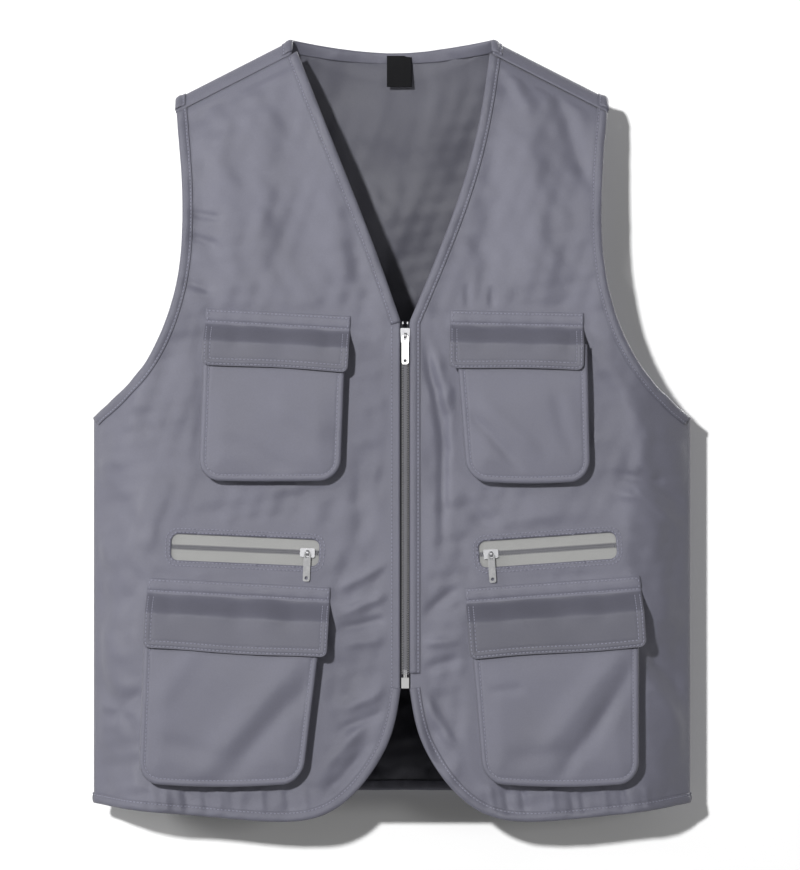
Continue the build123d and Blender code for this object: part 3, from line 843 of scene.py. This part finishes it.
# %% Back panel
def build_back():
    """The back panel, with the lips that are sewn to the fronts."""
    rows, lip_rows = 290, 12
    shoulder = np.linspace(tip_x, neck_half, 46)
    across = np.concatenate([-shoulder, np.linspace(-neck_half, neck_half, 78)[1:-1], shoulder[::-1]])
    neck_c = down(across, np.interp(across, back_neck[:, 0], back_neck[:, 1]))
    top_c = np.where(np.abs(across) < neck_half, neck_c, 0)
    columns = len(across)
    edge_z = np.linspace(tip_z, side_hem, rows)
    edge_x = {s: x_at(np.concatenate([armholes[s], [(s * half_width, side_hem)]]), edge_z) for s in (-1, 1)}
    left, right = [np.stack([edge_x[s], down(edge_x[s], edge_z)], axis=1) for s in (-1, 1)]
    left[0, 1] = right[0, 1] = 0
    hem_x = np.linspace(-half_width, half_width, columns)
    hem = together(hem_x, down(hem_x, back_hem(hem_x)))
    cut = coons(together(across, top_c), hem, left, right)
    seam_c = -down(across, ridge(across) - seam_drop)
    share = np.linspace(1, 0, lip_rows + 1)[:-1, None]
    lip = together(across, share * seam_c)
    cut = np.concatenate([lip, cut])
    over_neck = np.abs(across) < neck_half - 0.1

    def is_cloth(face):
        return face[0] // columns >= lip_rows or not any(over_neck[i % columns] for i in face[:2])
    faces = [face for face in grid_faces(rows + lip_rows, columns) if is_cloth(face)]
    x, c = cut[..., 0], cut[..., 1]
    panel = cloth_piece("back_panel", on_body(x, c, 0, 1), on_body(x, c, -panel_thick, 1), faces,
                        vest_cloth, together(x, chest_line * c))
    # Painted shade: the inner faces of the back take the darkened copy of the cloth.
    panel.data.materials.append(inner_side_painted_shade)
    for face in panel.data.polygons[len(faces):2 * len(faces)]:
        face.material_index = 1
    stand_for(panel, "vest_cloth", "back_panel")
    return panel


back_panel = build_back()
print(back_panel.name, len(back_panel.data.vertices), "points")

# %% [markdown]
# ## Bindings
# The raw edges are wrapped in a tape, 23 mm wide before it is folded, and sewn through near
# its inner side. Its cross-section goes over the cloth, round the edge and back underneath,
# with a groove where the thread pulls it down. A solid bead would look the same from the
# front, but not at its ends, so the fold is modelled with both faces of the tape.

# %% Sweep a tape round an edge
# Each point of the cross-section: in from the edge, and off the cloth.
binding_fold = np.array([
    (9.1, 0.8), (8.3, 1.1), (7.2, 0.5), (6.0, 1.15), (4.0, 1.8), (2.0, 1.7), (0.4, 1.15), (-0.7, 0.2),
    (-0.9, -0.6), (-0.7, -1.4), (0.4, -2.25), (2.0, -2.6), (4.5, -2.5), (8.2, -2.1), (9.1, -1.9)])
binding_row = 7.2  # the stitches, in from the edge
fold_run = unit(np.gradient(binding_fold, axis=0))
under_fold = binding_fold + 0.4 * np.stack([-fold_run[:, 1], fold_run[:, 0]], axis=1)
binding_loop = np.concatenate([binding_fold, under_fold[::-1]])


def across_edge(x, c, inset, inward):
    """Points that lie inset millimetres in from an edge line."""
    run_x, run_s = np.gradient(x), np.gradient(c) * stretch(x, c)
    kernel = np.ones(5) / 5
    run_x, run_s = [np.convolve(np.pad(run, 2, mode="edge"), kernel, mode="valid") for run in (run_x, run_s)]
    run = np.maximum(np.hypot(run_x, run_s), 1e-9)
    return x + inward * run_s / run * inset, c - inward * run_x / run * inset / stretch(x, c)


def edge_tape(name, x, c, inward, facing):
    """A tape folded round an edge of the front or the back."""
    rings = []
    for inset, lift in binding_loop:
        px, pc = across_edge(x, c, inset, inward)
        rings.append(on_body(px, pc, lift, facing))
    rings = np.stack(rings, axis=1)
    walked = steps(rings[:, 0])
    wrapped = steps(rings[0])
    uv = together(walked[:, None], wrapped[None, :])
    tape = make_piece(name, rings, ring_faces(*rings.shape[:2]), binding_cloth, uv)
    stand_for(tape, "binding_cloth", name)
    return tape


def edge_line(points, spacing=2.6):
    """X and c along an edge that is given in X and Z."""
    points = even(points, int(length_of(points) / spacing) + 2)
    return points[:, 0], down(points[:, 0], points[:, 1])


# %% Bindings
bindings, stitch_rows = {}, []


def bind(name, x, c, inward, facing, body):
    """Bind an edge and note its row of stitches."""
    bindings[name] = edge_tape(name, x, c, inward, facing), body
    px, pc = across_edge(x, c, binding_row, inward)
    stitch_rows.append((body, on_body(px, pc, 0.7, facing), on_body(px, pc, 1.7, facing)))


for name, side in sides.items():
    body = f"front_{name}"
    bind(f"armhole_binding_{name}", *edge_line(under_seam(armholes[side])), -side, -1, body)
    neck = under_seam(necks[side])
    if side > 0:  # the left one also covers the edge beside the zip
        neck = np.concatenate([neck, [(zip_edges[side], cutaway_top + 14)]])
    bind(f"neck_binding_{name}", *edge_line(neck), side, -1, body)
    bind(f"hem_binding_{name}", *edge_line(hems[side]), side, -1, body)
    if side < 0:  # the right edge is turned under and has stitches only
        fold_x, fold_c = edge_line([(zip_edges[side], v_bottom - 4), (zip_edges[side], cutaway_top - 4)])
        px, pc = across_edge(fold_x, fold_c, 7.6, side)
        stitch_rows.append((body, on_body(px, pc, 0.1), on_body(px, pc, 1.1)))
    arm_x, arm_c = edge_line(armholes[side])
    over = np.linspace(-0.21, 0.0, 9)[:-1]
    bind(f"back_armhole_binding_{name}", np.r_[np.full(8, side * tip_x), arm_x], np.r_[over, arm_c],
         -side, 1, "back")
hem_x = np.linspace(-half_width, half_width, 220)
bind("back_hem_binding", *edge_line(together(hem_x, back_hem(hem_x))), 1, 1, "back")
neck_x, neck_c = edge_line(back_neck)
lip_c = np.linspace(-0.19, -0.01, 8)
bind("back_neck_binding", np.r_[np.full(8, -neck_half), neck_x, np.full(8, neck_half)],
     np.r_[lip_c, neck_c, lip_c[::-1]], -1, 1, "back")
print(len(bindings), "bindings")

# %% [markdown]
# ## Stitches
# A stitch is a small bead of thread. Thousands of them are needed, so they are made as one
# mesh for each body of the vest: the same bead is copied along every sewn row, turned
# with the row and pressed against the cloth.

# %% Stitches
bead_rings = [(-0.78, 0.8), (0.0, 1.0), (0.78, 0.8)]
bead_sides = 6


def bead_shape():
    """Points and faces of one bead, two units long and wide."""
    turn = np.arange(bead_sides) * math.tau / bead_sides
    rings = [together(np.full(bead_sides, at), wide * np.cos(turn), wide * np.sin(turn))
             for at, wide in bead_rings]
    points = np.concatenate([[(-1, 0, 0)], *rings, [(1, 0, 0)]])
    last = len(points) - 1
    faces = []
    for k in range(bead_sides):
        after = (k + 1) % bead_sides
        faces += [[0, 1 + after, 1 + k], [last, last - bead_sides + k, last - bead_sides + after]]
        faces += [[first + k, first + after, first + bead_sides + after, first + bead_sides + k]
                  for first in range(1, last - bead_sides, bead_sides)]
    return points, faces


def stitch_piece(name, rows, finish, pitch=3.6, long=2.5, wide=1.0, tall=0.6):
    """One mesh of beads along rows; a row is its points and the same points a little off the cloth."""
    shape, bead_faces = bead_shape()
    points, faces = [], []
    for line, above in rows:
        total = length_of(line)
        count = max(int(total / pitch), 1)
        walked = steps(line)

        def at(where, values):
            return np.stack([np.interp(where, walked, v) for v in values.T], axis=1)
        middle = (np.arange(count) + 0.5) * total / count
        start, end = at(middle - long / 2, line), at(middle + long / 2, line)
        off, along = unit(at(middle, above) - at(middle, line)), unit(end - start)
        cross = np.cross(along, off)
        for i, base in enumerate((start + end) / 2):
            first = len(points) * len(shape)
            points.append(base + shape[:, :1] * along[i] * long / 2 + shape[:, 1:2] * cross[i] * wide / 2
                          + shape[:, 2:] * off[i] * tall)
            faces += [[first + k for k in face] for face in bead_faces]
    made = make_piece(name, np.concatenate(points), faces, finish)
    print(name, len(points), "stitches")
    return made


# %% [markdown]
# ## Box pockets and flaps
# Each pocket is a face of cloth held off the front by a gusset, with a flap that is sewn
# down along a band. A cube would be the quick way, but cloth shows that it is cloth at
# its edges: the face has a raised, topstitched rim, the gusset is drawn in, and the flap rolls
# out over the pocket's mouth. All of that is a height over the flat cut of the piece.

# %% Pocket shapes
pocket_random = np.random.default_rng(21)


def rounded_grid(half, top, bottom, corner, columns, rows):
    """Across and height of a grid whose two lower corners are rounded."""
    share = np.linspace(0, 1, rows)
    share = np.where(share < 0.7, share, 0.7 + 0.3 * np.sin((share - 0.7) / 0.3 * math.pi / 2))
    up = bottom + (top - bottom) * (1 - share)
    above = np.clip(up - bottom, 0, corner)
    wide = half - corner + np.sqrt(corner ** 2 - (corner - above) ** 2)
    a = np.linspace(-1, 1, columns)[None, :] * wide[:, None]
    return a, np.broadcast_to(up[:, None], a.shape)


def from_edge(a, b, half, bottom, corner):
    """Distance in from the sides and the bottom of a piece with rounded lower corners."""
    qa, qb = np.abs(a) - half + corner, bottom + corner - b
    return corner - (np.hypot(np.maximum(qa, 0), np.maximum(qb, 0)) + np.minimum(np.maximum(qa, qb), 0))


def sewn_rim(inset, rows):
    """Height of a sewn edge: thick at the rim, pulled down along each row of stitches."""
    edge = 0.7 * ease(1 - inset / (rows[-1] + 3))
    return edge - sum(0.7 * np.exp(-((inset - row) / 1.0) ** 2) for row in rows)


def u_line(half, top, bottom, corner, inset, spacing=1.5):
    """Down one side, round the bottom and up the other, inset from the edge."""
    corner = max(corner - inset, 0.5)
    half, bottom = half - inset, bottom + inset
    turn = np.linspace(0, math.pi / 2, 12)
    left = together(-half + corner - corner * np.cos(turn), bottom + corner - corner * np.sin(turn))
    line = np.concatenate([[(-half, top)], left, (left * (-1, 1))[::-1], [(half, top)]])
    return even(line, int(length_of(line) / spacing))


def sew(body, surface, line):
    """Note a row of stitches that follows a surface; line is across and height on it."""
    a, b = np.asarray(line, float).T
    step = 0.4
    here = surface(a, b)
    normal = unit(np.cross(surface(a + step, b) - here, surface(a, b + step) - here))
    normal *= np.where(normal[:, 1:2] > 0, -1, 1)
    stitch_rows.append((body, here + normal * 0.12, here + normal * 1.12))


# Soft dents in a flap: place across (share of the half width), width, depth.
flap_dents = {
    "chest_right": [(-0.55, 9, -1.2), (0.1, 12, -1.0), (0.7, 8, -1.1)],
    "chest_left": [(-0.5, 10, -1.0), (0.25, 12, -1.2), (0.8, 7, -0.9)],
    "hip_right": [(-0.75, 9, -1.0), (0.02, 12, -1.6), (0.33, 9, 0.7), (0.6, 10, -1.4)],
    "hip_left": [(-0.6, 12, -1.0), (0.05, 14, -1.4), (0.55, 11, -1.3)],
}
# Folds on a pocket's face: line in share of half width and share of height, width, height.
face_folds = {
    "chest_right": [([(0.1, 0.55), (0.75, 0.35)], 9, 1.0), ([(-0.6, 0.3), (0.2, 0.1)], 9, -1.0)],
    "chest_left": [([(-0.8, 0.45), (-0.2, 0.15)], 6, -1.3), ([(-0.6, 0.55), (0.1, 0.25)], 8, 1.1),
                   ([(0.5, 0.6), (0.7, 0.2)], 8, -0.9)],
    "hip_right": [([(0.15, 0.12), (0.85, 0.55)], 12, -1.7), ([(-0.2, 0.1), (0.7, 0.7)], 14, 1.4),
                  ([(-0.7, 0.25), (0.0, 0.15)], 10, -1.1), ([(-0.8, 0.5), (-0.4, 0.8)], 12, 0.9)],
    "hip_left": [([(0.05, 0.1), (0.6, 0.45)], 8, -1.7), ([(0.4, 0.25), (0.85, 0.65)], 8, -1.3),
                 ([(-0.1, 0.25), (0.7, 0.75)], 12, 1.5), ([(-0.8, 0.55), (-0.45, 0.57)], 5, -0.7),
                 ([(-0.6, 0.15), (0.1, 0.2)], 10, -1.0)],
}


# %% Flaps
hinge_y, hinge_b = -41.7, -14.3  # the fold of a flap: its depth, and its height from the flap's top
flap_corner, pocket_corner = 6, 20
flap_rows, band_rows, rim_row = (1.8, 6.4), (2.0, 12.0), 5.8  # rows of stitches, in from the edge


def roof(p):
    """How far a flap falls between its fold and the front of the pocket."""
    return 0.85 * p["deep"]


def flap_surface(name, p):
    """Where a place on the flap is: across it and up from its top. The top 14 mm are sewn down."""
    front_y = -(body_depth + p["deep"] + 3.8)
    half = p["flap"] / 2
    phase = pocket_random.uniform(0, 6, 4)

    def surface(a, b):
        a, b = np.broadcast_arrays(np.asarray(a, float), np.asarray(b, float))
        out = ease((hinge_b - b) / (roof(p) * 1.3) * 0.94 + 0.06 * (b < hinge_b))
        y = hinge_y + (front_y - hinge_y) * out
        roll = np.exp(-((b + 27) / 12) ** 2)
        for share, wide, deep in flap_dents[name]:
            y = y - 1.5 * deep * roll * np.exp(-((a - share * half) / wide) ** 2)
        low = ease((-b - 24) / 20)
        y = y - low * (0.45 * np.sin(a / 19 + phase[0]) + 0.25 * np.sin(a / 8.5 + phase[1]))
        inset = from_edge(a, b, half, -p["drop"], flap_corner)
        y = y - sewn_rim(inset, flap_rows) * ease((hinge_b - b) / 4)
        x, z = tilted(a, b - 0.7 * np.sin(a / 23 + phase[2]) * low, (p["flap_x"], p["top"]), p["tilt"])
        hanging = together(x, y, z)
        sewn = 0.5 * np.sin(math.pi * np.clip((-b - 2) / 10, 0, 1)) + 0.12 * np.sin(a / 3.1)
        for row in band_rows:
            sewn = sewn - 0.6 * np.exp(-((-b - row) / 1.0) ** 2)
        x, z = tilted(a, b, (p["flap_x"], p["top"]), p["tilt"])
        flat = on_body(x, down(x, z), 1.35 + sewn - 0.5 * ease(1 + b / 1.5), -1)
        free = ease((-11.5 - b) / 4.5)[..., None]
        return flat * (1 - free) + hanging * free
    return surface


def build_flap(name, p, body):
    """A flap with its band, and the rows that are sewn through both."""
    surface = flap_surface(name, p)
    half = p["flap"] / 2
    a, b = rounded_grid(half, 0.0, -p["drop"], flap_corner, int(p["flap"] / 1.5), 56)
    flap = grid_cloth(f"{name}_flap", surface(a, b), 1.2, vest_cloth, together(a, b))
    # Painted shade: below the band, the flap's faces take the darker copy of the cloth.
    flap.data.materials.append(darker_flap_painted_shade if name == "hip_left" else flap_painted_shade)
    up = np.concatenate([b.ravel(), b.ravel()])
    for face in flap.data.polygons:
        face.material_index = int(up[face.vertices[0]] < -13.5)
    stand_for(flap, "vest_cloth", f"{name}_flap", f"{name}_flap_band")
    for row in flap_rows:
        sew(f"{name}_flap", surface, u_line(half, -17.0, -p["drop"], flap_corner, row))
    low, high = band_rows
    for row in band_rows:
        sew(body, surface, together(np.linspace(-half + low, half - low, 90), np.full(90, -row)))
    for end in (-1, 1):
        sew(body, surface, together(np.full(12, end * (half - low)), np.linspace(-low, -high, 12)))
    return flap, surface


# %% Pocket face and gusset
def pocket_maps(name, p):
    """Two helpers: where a place on the pocket is, and how high its mouth is."""
    half, slope = p["wide"] / 2, math.tan(math.radians(p["tilt"]))
    mouth_b = hinge_b - roof(p) - 2.0
    tall = p["top"] + mouth_b - p["bottom"]
    strokes = [([(share * half, p["bottom"] + up * tall) for share, up in line], wide, high)
               for line, wide, high in face_folds[name]]
    phase = pocket_random.uniform(0, 6, 3)

    def mouth(a):
        """Height of the mouth, which follows the flap."""
        return p["top"] + mouth_b - (a + p["x"] - p["flap_x"]) * slope

    def spread(a, z):
        """Pockets lean and sag a little towards the bottom."""
        fall = np.clip((p["top"] + mouth_b - z) / tall, 0, 1)
        near, far = p["lean"]
        share = (a / half + 1) / 2
        return (p["x"] + a + fall * (near + (far - near) * share),
                z - fall ** 2 * p["sag"] * (1 - (a / half) ** 2))

    def surface(a, z):
        a, z = np.broadcast_arrays(np.asarray(a, float), np.asarray(z, float))
        inset = from_edge(a, z, half, p["bottom"], pocket_corner)
        below = mouth(a) - z
        full = ease((below - 22) / 40) * ease(inset / 26)
        y = -(body_depth + p["deep"]) - 2.2 * full
        y = y - 1.6 * stroke_height(a, z, strokes) * ease(inset / 12) * ease((below - 14) / 24)
        y = y - 0.4 * full * np.sin(a / 15 + phase[0]) * np.sin(z / 17 + phase[1])
        y = y - sewn_rim(inset, (rim_row,)) * ease(below / 6 + 0.2) + 2.2 * np.exp(-inset / 1.2)
        x, z = spread(a, z)
        return together(x, y, z)
    return surface, mouth, spread


def build_pocket(name, p, body):
    """The face of a pocket, and the gusset that holds it off the front."""
    half, corner = p["wide"] / 2, pocket_corner
    surface, mouth, spread = pocket_maps(name, p)
    across = np.linspace(-1, 1, int(p["wide"] / 1.5))[None, :]
    rise = np.linspace(0, 1, 86)[:, None]
    rise = np.where(rise < 0.75, rise, 0.75 + 0.25 * np.sin((rise - 0.75) / 0.25 * math.pi / 2))
    z = mouth(across * half) * (1 - rise) + p["bottom"] * rise
    above = np.clip(z - p["bottom"], 0, corner)
    a = across * (half - corner + np.sqrt(corner ** 2 - (corner - above) ** 2))
    face = grid_cloth(f"{name}_pocket_face", surface(a, z), 1.2, vest_cloth, together(a, z))
    stand_for(face, "vest_cloth", f"{name}_pocket_face")
    sew(body, surface, u_line(half, mouth(0) - 8, p["bottom"], corner, rim_row))

    spacing = 2.0
    line = u_line(half, p["top"] - 18, p["bottom"], corner, 0.3, spacing)
    line = line[line[:, 1] < mouth(line[:, 0])]
    rim_x, rim_z = spread(line[:, 0], line[:, 1])
    outer = surface(line[:, 0], line[:, 1])[:, 1] + 0.4
    root = on_body(rim_x, down(rim_x, rim_z), 0.15)[:, 1]
    run = unit(np.gradient(together(rim_x, rim_z), axis=0))
    depth, place = np.linspace(0, 1, 9)[None, :], np.arange(len(line))[:, None]
    drawn = (1.4 + 0.5 * np.sin(place / 4.0)) * np.sin(depth * math.pi)
    grid = together(rim_x[:, None] - run[:, 1:] * drawn, outer[:, None] * (1 - depth) + root[:, None] * depth,
               rim_z[:, None] + run[:, :1] * drawn)
    inner = grid - together(run[:, 1], 0, -run[:, 0])[:, None] * 1.0
    uv = together(place * spacing, depth * p["deep"])
    gusset = cloth_piece(f"{name}_pocket_gusset", grid, inner, grid_faces(*grid.shape[:2]),
                         vest_cloth, uv)
    stand_for(gusset, "vest_cloth", f"{name}_pocket_gusset")
    return face, gusset, surface


def build_patch(node, surface, across, up, lift):
    """One half of a hook and loop fastener; lift is from the surface to its outer side."""
    a, b = np.meshgrid(np.linspace(-22, 22, 34) + across, np.linspace(8, -8, 14) + up)
    grid = surface(a, b)
    normal = grid_normals(grid)
    normal = normal * np.where(normal[..., 1:2] > 0, -1, 1)
    patch = grid_cloth(node, grid + normal * lift, 0.5, hook_and_loop, together(a, b))
    stand_for(patch, "hook_and_loop", node)
    return patch


pocket_pieces = {}
for name, p in flap_pockets.items():
    body = "front_right" if p["side"] < 0 else "front_left"
    flap, flap_at = build_flap(name, p, body)
    face, gusset, face_at = build_pocket(name, p, body)
    patch_low = -p["drop"] + 6 + 8
    hook = build_patch(f"{name}_hook_patch", flap_at, 0.0, patch_low, -1.3)
    loop = build_patch(f"{name}_loop_patch", face_at, p["flap_x"] - p["x"], p["top"] + patch_low, 0.6)
    pocket_pieces[name] = dict(flap=flap, face=face, gusset=gusset, hook=hook, loop=loop, body=body)
print(len(pocket_pieces), "flap pockets")

# %% [markdown]
# ## Zips
# The zips are coil zips: each side of the chain is a fine plastic spiral sewn to a woven
# tape. The spiral is a real helix, flattened, swept with a thin round section. Sliders, pull
# tabs, stops and the box at the bottom are metal and plastic parts from the CAD model, and
# only get rounded edges and a finish.

# %% Coil
def coil_line(long, side, pitch=1.5, per_turn=10):
    """Centre line of a flattened helix: along, across and depth."""
    turn = np.arange(int(long / pitch * per_turn) + 1) / per_turn
    angle = turn * math.tau + (math.pi if side < 0 else 0)
    across = side * (1.15 - 1.55 * np.cos(angle))
    return together(turn * pitch, across, 0.95 * np.sin(angle))


def tube(line, radius, around=5):
    """Points and faces of a thin round tube along a line."""
    run = unit(np.gradient(line, axis=0))
    side = np.cross(run, (1.0, 0.0, 0.0))
    short = np.linalg.norm(side, axis=1, keepdims=True)
    side /= np.maximum(short, 1e-9)
    other = np.cross(run, side)
    turn = np.arange(around) * math.tau / around
    ring = np.cos(turn)[None, :, None] * side[:, None] + np.sin(turn)[None, :, None] * other[:, None]
    return (line[:, None] + radius * ring).reshape(-1, 3), ring_faces(len(line), around)


zip_y = -38.2  # middle of the chains
tape_y = zip_y - 0.4  # outer side of the tapes
tape_start = 1.6  # from the middle of a chain to the edge of a tape


def coil_piece(name, coils, long, place):
    """Both spirals of a chain, or one of them, placed by a function of along, across and depth."""
    points, faces = [], []
    for side in coils:
        made, made_faces = tube(coil_line(long, side), 0.4)
        first = sum(len(spiral) for spiral in points)
        faces += [[first + i for i in face] for face in made_faces]
        points.append(made)
    piece = make_piece(name, place(np.concatenate(points)), faces, coil_plastic)
    stand_for(piece, "zip_teeth", name)
    return piece


# %% Main zip
main_zip = {}
chain_top, chain_bottom = -276.0, -604.0
tape_wide = 16.0
box_half, box_top = 3.9, cutaway_top + 10.3  # the tapes make room for the box at the bottom


def on_closure(local):
    """A place on the main chain."""
    return together(zip_x + local[:, 1], zip_y + local[:, 2], chain_top - local[:, 0])


for name, side in sides.items():
    coil = coil_piece(f"zip_teeth_{name}", [side], chain_top - chain_bottom, on_closure)
    tape_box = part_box(f"zip_tape_{name}")
    x, z = np.meshgrid(np.linspace(zip_x + side * tape_start, zip_x + side * tape_wide, 14),
                       np.linspace(tape_box[1].z / MM, tape_box[0].z / MM, 180))
    out = np.abs(x - zip_x)
    narrowed = zip_x + side * (box_half + (out - tape_start) * 0.3)
    x = np.where((out < box_half) & (z < box_top), narrowed, x)
    y = tape_y + 0.08 * np.sin(z / 7) * (np.abs(x - zip_x) > 6)
    tape = grid_cloth(f"zip_tape_{name}", together(x, y, z), 0.8, dark_tape, together(x, z))
    stand_for(tape, "zip_tape_dark", f"zip_tape_{name}")
    main_zip[name] = [coil, tape]
    row = together(zip_x + side * 2.9, zip_y - 1.15, np.linspace(chain_top, chain_bottom, 300))
    stitch_rows.append((f"zip_{name}", row, row - (0, 1, 0)))

# %% Zip pockets
zip_pocket_pieces = {}
chain_over = 4.0  # the chain runs this far past each end of the window
bag_low, bag_corner = -140.0, 18


def build_zip_pocket(name, q):
    """The chain, the tape and the bag of a zip pocket, and the rows sewn round its window."""
    side, half = q["side"], q["long"] / 2

    def on_plane(a, b):
        """X and Z of a place on the pocket, from its own across and up."""
        return tilted(np.asarray(a, float), np.asarray(b, float), (q["x"], q["z"]), q["tilt"])

    def on_window(local):
        x, z = on_plane(side * (half + chain_over) - side * local[:, 0], side * local[:, 1])
        return together(x, zip_y + local[:, 2], z)

    def welt(a, b):
        x, z = on_plane(a, b)
        return on_body(x, down(x, z))
    chain = coil_piece(f"pocket_zip_teeth_{name}", [-1, 1], q["long"] + 2 * chain_over, on_window)

    strips, uv = [], []
    for edge in (-1, 1):
        a, b = np.meshgrid(np.linspace(-half - 7, half + 7, 110), edge * np.linspace(tape_start, 19.5, 16))
        x, z = on_plane(a, b)
        y = tape_y - 0.25 * np.exp(-((np.abs(b) - 3.2) / 1.0) ** 2) + 0.1 * np.sin(a / 9.0)
        strips.append(together(x, y, z).reshape(-1, 3))
        uv.append(together(a, b).reshape(-1, 2))
    faces = grid_faces(*a.shape)
    faces += [[i + a.size for i in face[::-1]] for face in faces]
    outer = np.concatenate(strips)
    tape = cloth_piece(f"pocket_zip_tape_{name}", outer, outer + (0, 0.8, 0), faces, light_tape,
                       np.concatenate(uv))
    stand_for(tape, "zip_tape", f"pocket_zip_tape_{name}")

    wide, high = half + 9, window_half + 7 + 4
    a, b = rounded_grid(wide, high, bag_low, bag_corner, 90, 90)
    inset = np.minimum(from_edge(a, b, wide, bag_low, bag_corner), high - b)
    puff = ease(np.clip(inset, 0, 12) / 12) ** 0.6
    x, z = on_plane(a, b)
    y = -37.5 + 8.4 * puff + 0.5 * puff * (np.sin(a / 13) * np.sin(b / 17) - 1)
    bag = grid_cloth(f"pocket_bag_{name}", together(x, y, z), 0.6, lining, together(a, b),
                     (0, 1, 0))
    stand_for(bag, "pocket_lining", f"pocket_bag_{name}")

    for away in (5, 1.6):
        loop = u_line(half + away, 0.0, -window_half - away, window_corner + away, 0)
        sew(f"front_{name}", welt, np.concatenate([loop, (loop * (1, -1))[::-1]]))
    return [chain, tape, bag]


for name, q in zip_pockets.items():
    zip_pocket_pieces[name] = build_zip_pocket(name, q)
print("zips done")

# %% [markdown]
# ## Metal and plastic
# The hard pieces keep their exact CAD shape. A bevel modifier rounds the edges by a few
# tenths of a millimetre, as casting and tumbling do, so that they catch the light.

# %% Hard pieces
hard_finish = {
    "main_slider": slider_metal, "main_pull_tab": tab_metal,
    "zip_insertion_pin": box_plastic, "zip_box": box_plastic,
}
for name in sides:
    hard_finish[f"pocket_slider_{name}"] = slider_metal
    hard_finish[f"pocket_pull_tab_{name}"] = pocket_metal
    hard_finish[f"zip_top_stop_{name}"] = slider_metal
for node, finish in hard_finish.items():
    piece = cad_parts[node]
    piece.data.materials.clear()
    piece.data.materials.append(finish)
    bevel = piece.modifiers.new("worn edges", "BEVEL")
    bevel.width, bevel.segments, bevel.limit_method = 0.0003, 2, "ANGLE"
    bevel.harden_normals = False
print(len(hard_finish), "hard pieces")

# %% [markdown]
# ## The size label
# A black satin label is caught under the neck binding and hangs free inside the back. It is
# bent a little, and plain: nothing is printed or woven on it.

# %% Label
label_low, label_high = [corner / MM + Vector((0, 0, 5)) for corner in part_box("size_label")]
sewn_z = label_high.z + 2
a, b = np.meshgrid(np.linspace(label_low.x, label_high.x, 22), np.linspace(sewn_z, label_low.z, 26))
fall = (sewn_z - b) / (sewn_z - label_low.z)
behind = on_body(a, down(a, b), -1.3, 1)[..., 1]
y = behind.min() - 1.0 - 1.4 * fall ** 2 - 0.5 * np.sin((a - label_low.x) / 24 * math.pi) * fall
label = grid_cloth("size_label", together(a, y, b), 0.5, label_cloth, together(a, b))
stand_for(label, "label_cloth", "size_label")

# %% [markdown]
# ## What moves with what
# Each front can be opened like a door at its side seam, but its shoulder is sewn to the
# back. The fronts, with their bindings and stitches, and the flaps keep their place as made;
# the rest rides on the cloth it is sewn to.

# %% Stitch rows by body
def hang_front(piece):
    """Left where it is made; its transform is baked into its points."""
    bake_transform(piece)


rows_by_body = {}
for body, line, above in stitch_rows:
    rows_by_body.setdefault(body, []).append((line, above))
for body, rows in rows_by_body.items():
    if body.startswith("zip_"):
        chain_thread = stitch_piece(f"chain_stitch_{body[4:]}", rows, light_tape, 2.0, 1.7, 0.6, 0.3)
        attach(chain_thread, f"front_{body[4:]}")
        continue
    made = stitch_piece(f"stitching_{body}", rows, thread_finish)
    if body.startswith("front_"):
        hang_front(made)
    else:
        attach(made, body)

# %% Ride
for name, side in sides.items():
    hang_front(front_panels[side])
    for piece in main_zip[name] + zip_pocket_pieces[name]:
        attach(piece, f"front_{name}")
for piece, body in bindings.values():
    if body == "back":
        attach(piece, body)
    else:
        hang_front(piece)
for name, made in pocket_pieces.items():
    for part in ("face", "gusset", "loop"):
        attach(made[part], made["body"])
    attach(made["hook"], f"{name}_flap")
    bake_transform(made["flap"])
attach(back_panel, "back")
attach(label, "back")

# %% Sizes and finish
low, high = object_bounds()
print("visual box in metres:", [round(v, 3) for v in low], [round(v, 3) for v in high])
